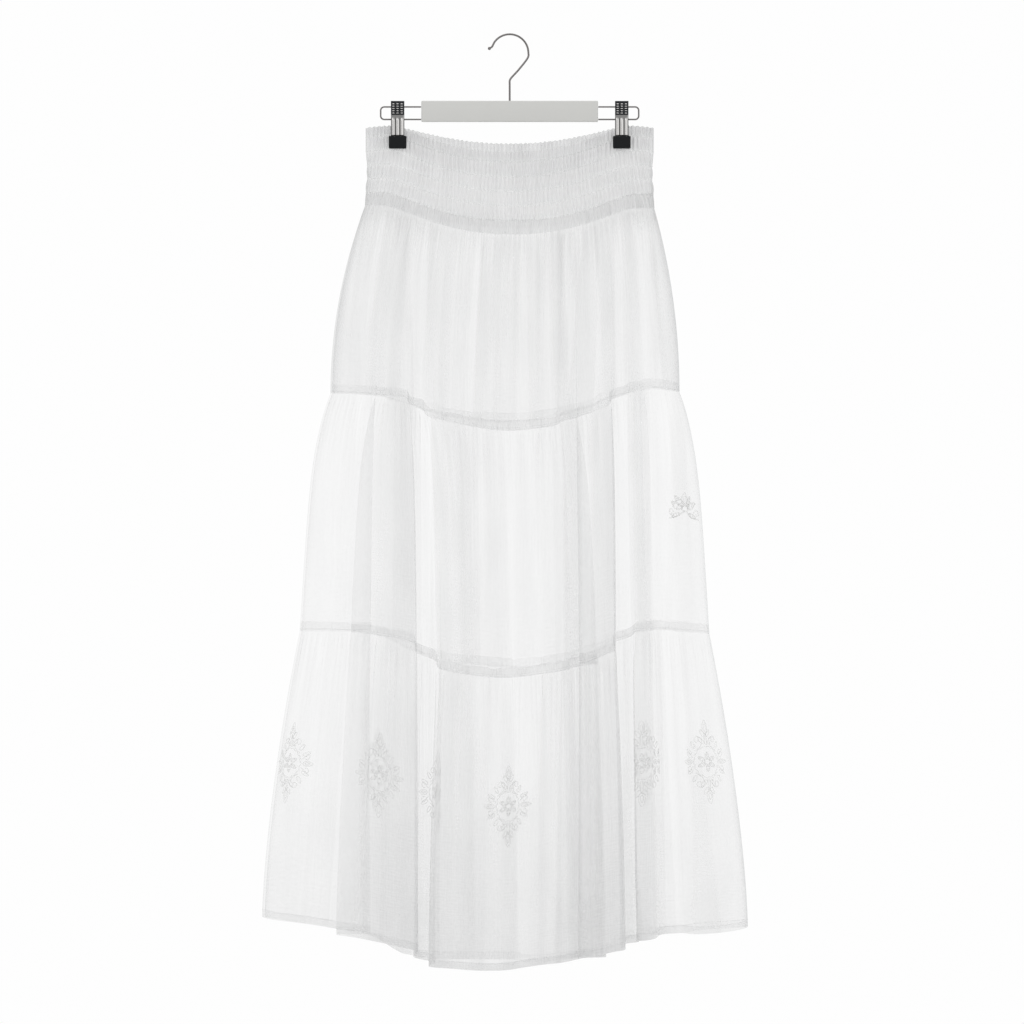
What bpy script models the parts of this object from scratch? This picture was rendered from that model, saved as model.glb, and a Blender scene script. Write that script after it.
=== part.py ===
"""Tiered ruffle skirt hanging from a two-clip hanger.

Metres, +Z up. The origin is the underside of the hook's crown, where the hanger hangs.
The front of the skirt faces -Y and its left side, as seen from the front, is -X.

Each cloth panel is a thin wall. Its plan section is known at the top and at the bottom of
the panel, and the wall blends from one to the other. A plan section below the waist is a
row of folds: crests stand out from the body, valleys lie near it, and the cloth between two
of them swings out and back as a bent sheet does, so that it tucks behind the crest where
the two are close together.
"""
import math
from collections import namedtuple

import bmesh
import bpy
from mathutils import Vector

# ---- cloth ----
WALL = 0.0014                 # thickness of every cloth wall
HEM_WALL = 0.0026             # the hem is folded twice
SEAM_GAP = 0.0003             # room between two pieces that are sewn together
YOKE_FOOT_GAP = 0.0006        # room under the yoke, whose ribs don't line up with the gathers
PANEL_COLUMNS = 64            # points along the top of a tier's front or back panel
GATHER_AMPLITUDE = 0.0022     # how far a gather stands out of the wall
GATHER_TOP_SHARE = 0.10       # the gathers are fullest this far down a tier
GATHER_END_SHARE = 0.52       # and the middling ones have gone this far down
GATHER_UNEVENNESS = 0.38      # the longest and the fullest differ by this share
TURN_WEIGHT = 0.007           # metres of cloth that one radian of fold counts for in spacing
TIER_ROWS = (0.0, 0.05, 0.16, 0.36, 0.66, 1.0)
HEM_TIER_ROWS = (0.0, 0.05, 0.18, 0.45, 0.74, 0.973, 1.0)
FOLD_STEPS = 24               # points worked out along each half fold
LARGEST_SWING = 3.4           # radians; a half fold never swings further than this

# ---- waist: the shirred yoke, pinched flat under the two clips ----
CLIP_X = 0.1313               # centre of each clip from the middle
WAIST_HALF_WIDTH = 0.1688
YOKE_NECK_HALF_WIDTH = 0.1660
YOKE_FOOT_HALF_WIDTH = 0.1695
YOKE_TOP_Z = -0.1072          # top edge at the clips
YOKE_CORNER_DROP = 0.0029     # the top edge falls this much over the side loops
FRONT_TOP_SAG = 0.0316        # the front top edge hangs this far lower at the middle
BACK_TOP_SAG = 0.0204
TOP_SAG_HALF_WIDTH = 0.1390   # the edge and the seam hang lower within these half widths
SEAM_SAG_HALF_WIDTH = 0.1460
SAG_POWERS = (2.2, 1.3)
PINCH_DEPTH = 0.00105         # middle of the wall from the middle plane, under a clip
PINCH_HALF_WIDTH = 0.0118     # the cloth lies flat this far each side of a clip
PINCH_SHARE = 0.29            # and this far down the yoke
NECK_SHARE = 0.60             # the yoke is narrowest this far down
YOKE_COLUMNS = 50             # ribs and furrows along one half of the yoke
YOKE_RIB = 0.0009             # how far a rib stands out
YOKE_PUFF = 0.0013            # how far a shirred row stands out between two elastics
PRESSED_HALF_WIDTH = 0.016    # ribs and puffs are pressed down this far each side of a clip
PRESSED_SHARE = 0.35          # to this share of their height
HEADER_HEIGHT = 0.010         # small frill above the first elastic
SHIRRED_ROWS = 4
SHIRRED_ROW_HEIGHT = 0.0163
YOKE_HEIGHT = 0.0905

# ---- hanger ----
BAR_LENGTH = 0.207
BAR_HEIGHT = 0.0246
BAR_DEPTH = 0.012
BAR_TOP_Z = -0.0770
BAR_ROUNDING = 0.0016
LOOP_WIRE_RADIUS = 0.00095
LOOP_TOP_Z = -0.0840
LOOP_FOOT_Z = -0.0987
LOOP_END_X = 0.1512
LOOP_CORNER_RADIUS = 0.0042
HOOK_WIRE_RADIUS = 0.00115
HOOK_RADIUS = 0.0219          # of the wire's centre line
HOOK_START_ANGLE = -16.0      # degrees, where the crank meets the bow
HOOK_END_ANGLE = 160.0
HOOK_CRANK = ((0.0, -0.058), (0.0, -0.0535), (0.0016, -0.0503), (0.0062, -0.0452), (0.0114, -0.0394))
HOOK_TIP = (-0.0238, -0.0155)
HOOK_TIP_RADIUS = 0.0019
CLIP_WIDTH = 0.0146
CLIP_PLATE = 0.0012
CLIP_TOP_Z = -0.0778
CLIP_FOOT_Z = -0.1182
CLIP_THUMB_REACH = 0.0098     # how far the thumb plates spread from the middle plane
CLIP_JAW_REACH = 0.0043
SPRING_RADIUS = 0.0039
SPRING_LENGTH = 0.0100
FOOT_WIDTH = 0.0207
FOOT_HEIGHT = 0.0147
FOOT_DEPTH = 0.0062
FOOT_ROUNDING = 0.0018
FOOT_SEAT = 0.0033            # inner face of a rubber foot from the middle plane

Level = namedtuple("Level", "z_left z_right sag depth gap")
FIRST_SEAM = Level(-0.4195, -0.4183, 0.0445, 0.030, 0.011)
SECOND_SEAM = Level(-0.6979, -0.7014, 0.0526, 0.052, 0.011)
HEM = Level(-1.0325, -1.0442, 0.0550, 0.070, 0.012)
YOKE_SEAM_Z_LEFT = -0.1995
YOKE_SEAM_Z_RIGHT = -0.2030
YOKE_SEAM_SAG = 0.0330
BACK_YOKE_SEAM_SAG = 0.0240

# One row for each crest or valley, from the left side seam to the right one: its place
# across at the first seam, the second seam and the hem, how far it stands out as a share of
# the level's depth, and how far it hangs down as a share of the level's sag.
Fold = namedtuple("Fold", "name x_first x_second x_hem reach sag_first sag_second sag_hem")
FRONT_FOLDS = (
    Fold("left seam",      -0.208, -0.244, -0.287, 0.00,  0.00,  0.00, 0.00),
    Fold("left crest",     -0.187, -0.216, -0.248, 0.55,  0.02,  0.00, 0.09),
    Fold("left valley",    -0.161, -0.168, -0.169, 0.16,  0.05,  0.00, 0.30),
    Fold("second edge",    -0.152, -0.180, -0.190, 0.72,  0.07,  0.02, 0.33),
    Fold("second crest",   -0.124, -0.119, -0.119, 0.80,  0.14,  0.20, 0.58),
    Fold("left slit",      -0.111, -0.099, -0.100, 0.06,  0.35,  0.55, 0.85),
    Fold("centre edge",    -0.091, -0.073, -0.082, 0.85,  0.68,  0.86, 0.96),
    Fold("centre crest",   -0.011, -0.011, -0.015, 1.00,  1.00,  1.00, 1.00),
    Fold("centre end",      0.046,  0.044,  0.042, 0.84,  0.82,  0.80, 0.86),
    Fold("right valley",    0.073,  0.096,  0.104, 0.04,  0.68,  0.70, 0.74),
    Fold("fourth edge",     0.084,  0.088,  0.089, 0.74,  0.60,  0.66, 0.70),
    Fold("fourth crest",    0.113,  0.115,  0.124, 0.78,  0.38,  0.45, 0.55),
    Fold("right slit",      0.124,  0.131,  0.140, 0.06,  0.15,  0.15, 0.40),
    Fold("fifth crest",     0.152,  0.156,  0.158, 0.62, -0.08, -0.08, 0.30),
    Fold("outer slit",      0.170,  0.176,  0.189, 0.06, -0.10, -0.08, 0.16),
    Fold("right crest",     0.185,  0.205,  0.225, 0.52, -0.06, -0.04, 0.14),
    Fold("right seam",      0.199,  0.234,  0.279, 0.00,  0.00,  0.00, 0.00),
)
BACK_FOLDS = (
    Fold("left seam",      -0.208, -0.244, -0.287, 0.00,  0.00,  0.00, 0.00),
    Fold("left crest",     -0.185, -0.211, -0.246, 0.56,  0.02,  0.00, 0.16),
    Fold("left valley",    -0.154, -0.166, -0.184, 0.10,  0.08,  0.06, 0.30),
    Fold("second edge",    -0.138, -0.147, -0.161, 0.76,  0.18,  0.16, 0.44),
    Fold("second crest",   -0.114, -0.116, -0.124, 0.84,  0.36,  0.44, 0.80),
    Fold("third valley",   -0.095, -0.090, -0.094, 0.08,  0.50,  0.56, 0.84),
    Fold("third edge",     -0.075, -0.072, -0.080, 0.84,  0.64,  0.68, 0.88),
    Fold("third crest",    -0.020, -0.012, -0.004, 0.95,  0.78,  0.80, 0.88),
    Fold("middle valley",   0.012,  0.020,  0.028, 0.12,  0.78,  0.80, 0.88),
    Fold("fourth edge",     0.044,  0.057,  0.066, 0.88,  0.68,  0.70, 0.85),
    Fold("fourth crest",    0.092,  0.101,  0.108, 0.84,  0.42,  0.46, 0.68),
    Fold("right valley",    0.117,  0.129,  0.139, 0.08,  0.16,  0.14, 0.35),
    Fold("fifth crest",     0.148,  0.160,  0.166, 0.72,  0.00, -0.02, 0.28),
    Fold("outer valley",    0.169,  0.180,  0.192, 0.08, -0.08, -0.08, 0.20),
    Fold("right crest",     0.185,  0.207,  0.230, 0.52, -0.05, -0.04, 0.12),
    Fold("right seam",      0.199,  0.234,  0.279, 0.00,  0.00,  0.00, 0.00),
)


# ---- plan sections ----

def blend(start, end, share):
    """The point or number that lies this share of the way from start to end."""
    return start + (end - start) * share


def swing_path(swing, steps=FOLD_STEPS):
    """Points of a half fold one unit long whose direction swings out by this angle and back."""
    points = [Vector((0.0, 0.0))]
    for step in range(steps):
        angle = swing * math.sin(math.pi * (step + 0.5) / steps)
        points.append(points[-1] + Vector((math.cos(angle), math.sin(angle))) / steps)
    return points


def half_fold(start, end):
    """Points from one crest or valley to the next, along a sheet that swings out and back."""
    across = end.x - start.x
    rise = end.y - start.y
    wanted = math.atan2(abs(rise), across)
    low, high = 0.0, LARGEST_SWING
    for _ in range(40):
        middle = (low + high) / 2
        tip = swing_path(middle)[-1]
        if math.atan2(tip.y, tip.x) < wanted:
            low = middle
        else:
            high = middle
    path = swing_path(low)
    tip = path[-1]
    length = math.hypot(across, rise) / tip.length
    side = 1.0 if rise >= 0.0 else -1.0
    placed = [start + Vector((point.x, side * point.y)) * length for point in path]
    # the last trace of error is spread along the path, so that it ends on the next fold
    error = end - placed[-1]
    return [point + error * (step / FOLD_STEPS) for step, point in enumerate(placed)]


def side_turn(seam, crest):
    """Quarter oval from a side seam, where the cloth runs to the front, to its first crest."""
    points = []
    for step in range(FOLD_STEPS + 1):
        turn = math.pi / 2 * step / FOLD_STEPS
        points.append(Vector((blend(seam.x, crest.x, 1 - math.cos(turn)),
                              blend(seam.y, crest.y, math.sin(turn)))))
    return points


def fold_section(folds, column, level):
    """The half folds of one level, each a list of (across, out) points."""
    nodes = []
    for fold in folds:
        out = level.gap + level.depth * fold.reach
        if fold in (folds[0], folds[-1]):
            out = SEAM_GAP / 2
        nodes.append(Vector((getattr(fold, column), out)))
    section = [side_turn(nodes[0], nodes[1])]
    for start, end in zip(nodes[1:-2], nodes[2:-1]):
        section.append(half_fold(start, end))
    section.append(side_turn(nodes[-1], nodes[-2])[::-1])
    return section


def waist_curve(half_width, pinch, belly, loop, steps=400):
    """Waist section from left to right: a belly between the clips and a loop outside each."""
    belly_end = CLIP_X - PINCH_HALF_WIDTH
    loop_start = CLIP_X + PINCH_HALF_WIDTH
    points = []
    for step in range(steps + 1):
        turn = math.pi * (step / steps - 0.5)
        across = half_width * math.sin(turn)
        if abs(across) <= loop_start:
            swell = math.cos(math.pi / 2 * min(1.0, abs(across) / belly_end)) ** 2
            out = blend(pinch, belly, swell)
        else:
            share = min(1.0, (abs(across) - loop_start) / (half_width - loop_start))
            rounding = math.sqrt(max(0.0, 1 - share ** 4))
            out = (pinch + loop * share * share) * rounding
        points.append(Vector((across, max(out, SEAM_GAP / 2))))
    return points


def waist_section(folds, curve):
    """A waist curve cut into as many stretches as there are half folds below it."""
    lengths = [0.0]
    for start, end in zip(curve, curve[1:]):
        lengths.append(lengths[-1] + (end - start).length)

    def at(share):
        wanted = share * lengths[-1]
        step = max(0, min(len(curve) - 2, sum(1 for length in lengths if length < wanted) - 1))
        stretch = lengths[step + 1] - lengths[step]
        return blend(curve[step], curve[step + 1], (wanted - lengths[step]) / stretch)

    first, last = folds[0].x_first, folds[-1].x_first
    shares = [(fold.x_first - first) / (last - first) for fold in folds]
    section = []
    for start, end in zip(shares, shares[1:]):
        section.append([at(blend(start, end, step / FOLD_STEPS)) for step in range(FOLD_STEPS + 1)])
    return section


def read_section(section, place):
    """Point at a place along a section; whole numbers are the crests and valleys."""
    fold = min(int(place), len(section) - 1)
    step = (place - fold) * FOLD_STEPS
    whole = min(int(step), FOLD_STEPS - 1)
    return blend(section[fold][whole], section[fold][whole + 1], step - whole)


def outward(section, place):
    """Unit vector (across, out) that points out of the wall at a place along a section."""
    if place <= 0.0:
        return Vector((-1.0, 0.0))
    if place >= len(section):
        return Vector((1.0, 0.0))
    reach = 0.5 / FOLD_STEPS
    along = read_section(section, min(len(section), place + reach)) \
        - read_section(section, max(0.0, place - reach))
    return Vector((-along.y, along.x)).normalized()


def section_lengths(section, turn_weight=0.0):
    """Length of cloth from the left seam to the start of each half fold, and to the end."""
    lengths = [0.0]
    for points in section:
        steps = [end - start for start, end in zip(points, points[1:])]
        turned = sum(abs(first.angle_signed(second, 0.0)) for first, second in zip(steps, steps[1:]))
        stretch = sum(step.length for step in steps) + turn_weight * turned
        lengths.append(lengths[-1] + stretch)
    return lengths


def even_places(sections, columns):
    """Places along the folds, even in cloth over all of these sections but closer in its turns."""
    totals = [0.0] * (len(sections[0]) + 1)
    for section in sections:
        lengths = section_lengths(section, TURN_WEIGHT)
        totals = [total + length / lengths[-1] for total, length in zip(totals, lengths)]
    places = []
    for column in range(columns + 1):
        wanted = totals[-1] * column / columns
        fold = max(0, min(len(totals) - 2, sum(1 for total in totals if total < wanted) - 1))
        places.append(fold + (wanted - totals[fold]) / (totals[fold + 1] - totals[fold]))
    return places


# ---- heights ----

def seam_height(folds, column, level, place):
    """Height of a seam at a place along the folds: it hangs lower round the middle."""
    fold = min(int(place), len(folds) - 2)
    share = place - fold
    eased = share * share * (3 - 2 * share)
    sag = blend(getattr(folds[fold], column), getattr(folds[fold + 1], column), eased)
    side = blend(level.z_left, level.z_right, place / (len(folds) - 1))
    return side - level.sag * sag


def middle_share(across, half_width):
    """1 at the middle of the waist, 0 at this half width and beyond it."""
    flat, rounding = SAG_POWERS
    return max(0.0, 1.0 - (abs(across) / half_width) ** flat) ** rounding


def yoke_seam_height(across, sag):
    """Height of the seam between the yoke and the first tier."""
    side = blend(YOKE_SEAM_Z_LEFT, YOKE_SEAM_Z_RIGHT, 0.5 + across / (2 * WAIST_HALF_WIDTH))
    return side - sag * middle_share(across, SEAM_SAG_HALF_WIDTH)


def yoke_top_height(across, sag):
    """Height of the yoke's top edge, which falls a little over the side loops."""
    beyond = max(0.0, (abs(across) - CLIP_X) / (WAIST_HALF_WIDTH - CLIP_X))
    return YOKE_TOP_Z - YOKE_CORNER_DROP * beyond ** 2 - sag * middle_share(across, TOP_SAG_HALF_WIDTH)


# ---- panels ----

def spread(tier, share):
    """How much of its widening a tier has done this far down: it bells out under its seam."""
    if tier == 1:
        return 1 - (1 - share) ** 2.0
    if tier == 2:
        return 0.5 * (1 - (1 - share) ** 5) + 0.5 * share
    return 1 - (1 - share) ** 1.5


def gather_height(column, share):
    """How far the gather at a column stands out this far down a tier; odd columns stand in."""
    longer = GATHER_UNEVENNESS * math.sin(2.4 * (column // 2))
    fuller = GATHER_UNEVENNESS * math.cos(1.7 * (column // 2))
    end = GATHER_END_SHARE * (1 + longer)
    if share <= GATHER_TOP_SHARE:
        rise = share / GATHER_TOP_SHARE
    else:
        rise = max(0.0, (end - share) / (end - GATHER_TOP_SHARE))
    return GATHER_AMPLITUDE * (1 + fuller) * rise * (-1 if column % 2 else 1)


def wall_object(name, columns, rows, outer_point, inner_point, material):
    """A cloth wall: a grid of faces laid on its outer points and extruded to its inner ones."""
    mesh = bpy.data.meshes.new(name)
    bm = bmesh.new()
    bmesh.ops.create_grid(bm, x_segments=columns, y_segments=rows, size=1.0)
    bmesh.ops.triangulate(bm, faces=bm.faces[:])
    outer = bm.verts[:]
    copied = bmesh.ops.extrude_face_region(bm, geom=bm.faces[:], use_keep_orig=True)
    inner = [item for item in copied["geom"] if isinstance(item, bmesh.types.BMVert)]
    for verts, point in ((outer, outer_point), (inner, inner_point)):
        for vert in verts:
            column = round((vert.co.x + 1) / 2 * columns)
            row = rows - round((vert.co.y + 1) / 2 * rows)
            vert.co = point(column, row)
    bmesh.ops.recalc_face_normals(bm, faces=bm.faces[:])
    bm.to_mesh(mesh)
    bm.free()
    return add_object(name, mesh, material)


def tier_panel(name, tier, facing, places, top, bottom, heights, material):
    """Front or back panel of one tier; facing is -1 for the front and 1 for the back."""
    rows = HEM_TIER_ROWS if tier == 3 else TIER_ROWS
    top_height, bottom_height = heights

    def wall_point(column, row, side):
        place, share = places[column], rows[row]
        opened = spread(tier, share)
        point = blend(read_section(top, place), read_section(bottom, place), opened)
        out = blend(outward(top, place), outward(bottom, place), opened).normalized()
        seam = column in (0, PANEL_COLUMNS)
        gather = 0.0 if seam else gather_height(column, share)
        wall = HEM_WALL if rows is HEM_TIER_ROWS and row >= len(rows) - 2 else WALL
        point = point + out * (gather + side * wall / 2)
        height = blend(top_height(place) - SEAM_GAP / 2, bottom_height(place) + SEAM_GAP / 2, share)
        return Vector((point.x, facing * point.y, height))

    return wall_object(name, PANEL_COLUMNS, len(rows) - 1,
                       lambda column, row: wall_point(column, row, 1),
                       lambda column, row: wall_point(column, row, -1), material)


def yoke_rows():
    """Heights down the yoke as shares, each with how far the cloth puffs out there."""
    rows = [(0.0, 0.3), (HEADER_HEIGHT * 0.5, 0.8), (HEADER_HEIGHT, 0.0)]
    for row in range(SHIRRED_ROWS):
        top = HEADER_HEIGHT + row * SHIRRED_ROW_HEIGHT
        rows.append((top + SHIRRED_ROW_HEIGHT / 2, 1.0))
        rows.append((top + SHIRRED_ROW_HEIGHT, 0.0))
    rows.append((YOKE_HEIGHT, 0.3))
    return [(down / YOKE_HEIGHT, puff) for down, puff in rows]


def yoke_panel(name, facing, top_sag, seam_sag, material):
    """Front or back half of the shirred yoke, raised in its outer points over a plain inside."""
    rows = yoke_rows()
    belly = 0.027 if facing < 0 else 0.022
    folds = FRONT_FOLDS
    top = waist_section(folds, waist_curve(WAIST_HALF_WIDTH, PINCH_DEPTH, belly, 0.0060))
    neck = waist_section(folds, waist_curve(YOKE_NECK_HALF_WIDTH, 0.0125, 0.030, 0.0050))
    foot = yoke_foot_section(folds)
    places = even_places([top, foot], YOKE_COLUMNS)

    def section_point(read, place, share):
        if share <= PINCH_SHARE:
            return read(top, place)
        if share < NECK_SHARE:
            opened = (share - PINCH_SHARE) / (NECK_SHARE - PINCH_SHARE)
            return blend(read(top, place), read(neck, place), opened)
        return blend(read(neck, place), read(foot, place), (share - NECK_SHARE) / (1 - NECK_SHARE))

    def wall_point(column, row, outer):
        place, (share, puff) = places[column], rows[row]
        point = section_point(read_section, place, share)
        out = section_point(outward, place, share).normalized()
        height = blend(yoke_top_height(point.x, top_sag),
                       yoke_seam_height(point.x, seam_sag) + YOKE_FOOT_GAP, share)
        raised = -WALL / 2
        if outer:
            beside_clip = abs(abs(point.x) - CLIP_X) < PRESSED_HALF_WIDTH and share < NECK_SHARE
            pressed = PRESSED_SHARE if beside_clip else 1.0
            seam = column in (0, YOKE_COLUMNS)
            rib = 0.0 if seam else YOKE_RIB * (column % 2)
            raised = WALL / 2 + pressed * (YOKE_PUFF * puff + rib)
        point = point + out * raised
        return Vector((point.x, facing * point.y, height))

    return wall_object(name, YOKE_COLUMNS, len(rows) - 1,
                       lambda column, row: wall_point(column, row, True),
                       lambda column, row: wall_point(column, row, False), material)


def yoke_foot_section(folds):
    """Waist section at the seam between the yoke and the first tier."""
    return waist_section(folds, waist_curve(YOKE_FOOT_HALF_WIDTH, 0.0200, 0.034, 0.0040))


def build_half(side, facing, folds, top_sag, seam_sag, cloth, yoke_cloth):
    """The yoke and the three tiers of the front or of the back."""
    foot = yoke_foot_section(folds)
    first = fold_section(folds, "x_first", FIRST_SEAM)
    second = fold_section(folds, "x_second", SECOND_SEAM)
    hem = fold_section(folds, "x_hem", HEM)
    places = even_places([foot, first, second, hem], PANEL_COLUMNS)

    def foot_height(place):
        return yoke_seam_height(read_section(foot, place).x, seam_sag)

    def first_height(place):
        return seam_height(folds, "sag_first", FIRST_SEAM, place)

    def second_height(place):
        return seam_height(folds, "sag_second", SECOND_SEAM, place)

    def hem_height(place):
        return seam_height(folds, "sag_hem", HEM, place)

    yoke_panel(f"yoke_{side}", facing, top_sag, seam_sag, yoke_cloth)
    tier_panel(f"tier_1_{side}", 1, facing, places, foot, first, (foot_height, first_height), cloth)
    tier_panel(f"tier_2_{side}", 2, facing, places, first, second, (first_height, second_height), cloth)
    tier_panel(f"tier_3_{side}", 3, facing, places, second, hem, (second_height, hem_height), cloth)


# ---- materials and objects ----

def make_material(name, colour, roughness, metallic=0.0):
    """A plain Principled material."""
    material = bpy.data.materials.new(name)
    material.use_nodes = True
    shader = material.node_tree.nodes["Principled BSDF"]
    shader.inputs["Base Color"].default_value = (*colour, 1.0)
    shader.inputs["Roughness"].default_value = roughness
    shader.inputs["Metallic"].default_value = metallic
    return material


def add_object(name, data, material):
    """Links a mesh or a curve to the scene as a named object."""
    item = bpy.data.objects.new(name, data)
    data.materials.append(material)
    bpy.context.collection.objects.link(item)
    return item


def add_bevel(item, width, segments=2):
    """Rounds an object's edges."""
    bevel = item.modifiers.new("rounding", "BEVEL")
    bevel.width = width
    bevel.segments = segments
    bevel.limit_method = "ANGLE"


def block(name, size, place, material, rounding):
    """A rounded block of this size round its centre."""
    mesh = bpy.data.meshes.new(name)
    bm = bmesh.new()
    bmesh.ops.create_cube(bm, size=1.0)
    bmesh.ops.scale(bm, vec=Vector(size), verts=bm.verts[:])
    bm.to_mesh(mesh)
    bm.free()
    item = add_object(name, mesh, material)
    item.location = place
    add_bevel(item, rounding)
    return item


def wire(name, points, radius, material, resolution=2):
    """A round wire along a path, with closed ends."""
    curve = bpy.data.curves.new(name, "CURVE")
    curve.dimensions = "3D"
    curve.bevel_depth = radius
    curve.bevel_resolution = resolution
    curve.use_fill_caps = True
    spline = curve.splines.new("POLY")
    spline.points.add(len(points) - 1)
    for spline_point, point in zip(spline.points, points):
        spline_point.co = (*point, 1.0)
    return add_object(name, curve, material)


# ---- hanger ----

def arc(centre, radius, start, end, steps):
    """Points (x, z) of an arc between two angles in degrees."""
    points = []
    for step in range(steps + 1):
        angle = math.radians(blend(start, end, step / steps))
        points.append((centre[0] + radius * math.cos(angle), centre[1] + radius * math.sin(angle)))
    return points


def build_hook(chrome):
    """The hook: a straight stem, a crank, a round bow and a small ball at the tip."""
    crown = HOOK_WIRE_RADIUS
    centre = (0.0, crown - HOOK_RADIUS)
    path = [(0.0, BAR_TOP_Z + SEAM_GAP)]
    path += list(HOOK_CRANK)
    path += arc(centre, HOOK_RADIUS, HOOK_START_ANGLE, HOOK_END_ANGLE, 22)
    path.append((HOOK_TIP[0] + HOOK_TIP_RADIUS * 0.6, HOOK_TIP[1] + HOOK_TIP_RADIUS * 0.4))
    wire("hook", [(x, 0.0, z) for x, z in path], HOOK_WIRE_RADIUS, chrome)


def build_loop(name, side, chrome):
    """The wire loop at one end of the bar, on which a clip slides."""
    start = side * (BAR_LENGTH / 2 + SEAM_GAP)
    corner = side * (LOOP_END_X - LOOP_CORNER_RADIUS)
    path = [(start, LOOP_TOP_Z)]
    for angle in range(90, -91, -30):
        turn = math.radians(angle)
        middle = LOOP_TOP_Z - LOOP_CORNER_RADIUS if angle > 0 else LOOP_FOOT_Z + LOOP_CORNER_RADIUS
        if angle == 0:
            continue
        path.append((corner + side * LOOP_CORNER_RADIUS * math.cos(turn),
                     middle + LOOP_CORNER_RADIUS * math.sin(turn)))
        if angle == 30:
            path.append((side * LOOP_END_X, LOOP_TOP_Z - LOOP_CORNER_RADIUS))
            path.append((side * LOOP_END_X, LOOP_FOOT_Z + LOOP_CORNER_RADIUS))
    path.append((start, LOOP_FOOT_Z))
    wire(name, [(x, 0.0, z) for x, z in path], LOOP_WIRE_RADIUS, chrome)


def build_jaw(name, x, facing, chrome):
    """One sprung jaw plate: a thumb plate that leans out over a straight gripping plate."""
    profile = ((CLIP_THUMB_REACH, CLIP_TOP_Z),
               (CLIP_JAW_REACH + 0.0006, LOOP_FOOT_Z + 0.0055),
               (CLIP_JAW_REACH, LOOP_FOOT_Z),
               (CLIP_JAW_REACH, CLIP_FOOT_Z + SEAM_GAP))
    mesh = bpy.data.meshes.new(name)
    bm = bmesh.new()
    inner = [bm.verts.new((-CLIP_WIDTH / 2, facing * out, z)) for out, z in profile]
    outer = [bm.verts.new((-CLIP_WIDTH / 2, facing * (out + CLIP_PLATE), z)) for out, z in profile]
    face = bm.faces.new(inner + outer[::-1])
    side = bmesh.ops.extrude_face_region(bm, geom=[face], use_keep_orig=True)
    moved = [item for item in side["geom"] if isinstance(item, bmesh.types.BMVert)]
    bmesh.ops.translate(bm, vec=(CLIP_WIDTH, 0.0, 0.0), verts=moved)
    bmesh.ops.triangulate(bm, faces=[f for f in bm.faces if len(f.verts) > 4])
    bmesh.ops.recalc_face_normals(bm, faces=bm.faces[:])
    bm.to_mesh(mesh)
    bm.free()
    add_object(name, mesh, chrome).location = (x, 0.0, 0.0)


def build_spring(name, x, steel):
    """The coil spring's barrel, turned round the lower wire that it slides on."""
    bore = LOOP_WIRE_RADIUS + SEAM_GAP
    mesh = bpy.data.meshes.new(name)
    bm = bmesh.new()
    corners = ((-1, bore), (1, bore), (1, SPRING_RADIUS), (-1, SPRING_RADIUS))
    verts = [bm.verts.new((end * SPRING_LENGTH / 2, 0.0, radius)) for end, radius in corners]
    edges = [bm.edges.new((verts[i], verts[(i + 1) % 4])) for i in range(4)]
    bmesh.ops.spin(bm, geom=verts + edges, cent=(0, 0, 0), axis=(1, 0, 0),
                   angle=2 * math.pi, steps=16, use_merge=True)
    bmesh.ops.remove_doubles(bm, verts=bm.verts[:], dist=0.00001)
    bmesh.ops.recalc_face_normals(bm, faces=bm.faces[:])
    bm.to_mesh(mesh)
    bm.free()
    add_object(name, mesh, steel).location = (x, 0.0, LOOP_FOOT_Z)


def build_clip(name, x, chrome, steel, rubber):
    """A clip: two jaw plates, the spring between them and a rubber foot on each jaw."""
    build_spring(f"{name}_spring", x, steel)
    for end, facing in (("front", -1), ("back", 1)):
        build_jaw(f"{name}_jaw_{end}", x, facing, chrome)
        centre = (x, facing * (FOOT_SEAT + FOOT_DEPTH / 2), CLIP_FOOT_Z - FOOT_HEIGHT / 2)
        block(f"{name}_foot_{end}", (FOOT_WIDTH, FOOT_DEPTH, FOOT_HEIGHT), centre, rubber, FOOT_ROUNDING)


def build_hanger():
    """The bar, its hook, the wire loop at each end and the two clips."""
    bar_finish = make_material("bar grey", (0.58, 0.58, 0.56), 0.5)
    chrome = make_material("chrome", (0.62, 0.62, 0.63), 0.16, 1.0)
    steel = make_material("spring steel", (0.30, 0.30, 0.31), 0.35, 1.0)
    rubber = make_material("black rubber", (0.016, 0.017, 0.019), 0.5)
    block("hanger_bar", (BAR_LENGTH, BAR_DEPTH, BAR_HEIGHT), (0.0, 0.0, BAR_TOP_Z - BAR_HEIGHT / 2),
          bar_finish, BAR_ROUNDING)
    build_hook(chrome)
    for end, side in (("left", -1), ("right", 1)):
        build_loop(f"wire_loop_{end}", side, chrome)
        build_clip(f"clip_{end}", side * CLIP_X, chrome, steel, rubber)


def build_skirt():
    """The shirred yoke and the three gathered tiers, front and back."""
    cloth = make_material("white gauze", (0.90, 0.90, 0.89), 0.85)
    yoke_cloth = make_material("white shirred gauze", (0.86, 0.86, 0.86), 0.85)
    build_half("front", -1, FRONT_FOLDS, FRONT_TOP_SAG, YOKE_SEAM_SAG, cloth, yoke_cloth)
    build_half("back", 1, BACK_FOLDS, BACK_TOP_SAG, BACK_YOKE_SEAM_SAG, cloth, yoke_cloth)


def main():
    for item in list(bpy.data.objects):
        bpy.data.objects.remove(item)
    build_hanger()
    build_skirt()


main()
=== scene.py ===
"""Looks of the tiered ruffle skirt on its two-clip hanger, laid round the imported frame.

Metres, +Z up. The origin is the underside of the hook's crown. The front of the skirt faces
-Y and its left side, as seen from the front, is -X.

Each cloth panel is one thin sheet. A place on it is given by its share across the cloth, from
the left seam (0) to the right one (1), and by its share down the panel, from its top edge (0)
to its bottom edge (1). Everything sewn to a panel is laid on it by the same two shares.
"""
import math
from collections import namedtuple

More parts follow.
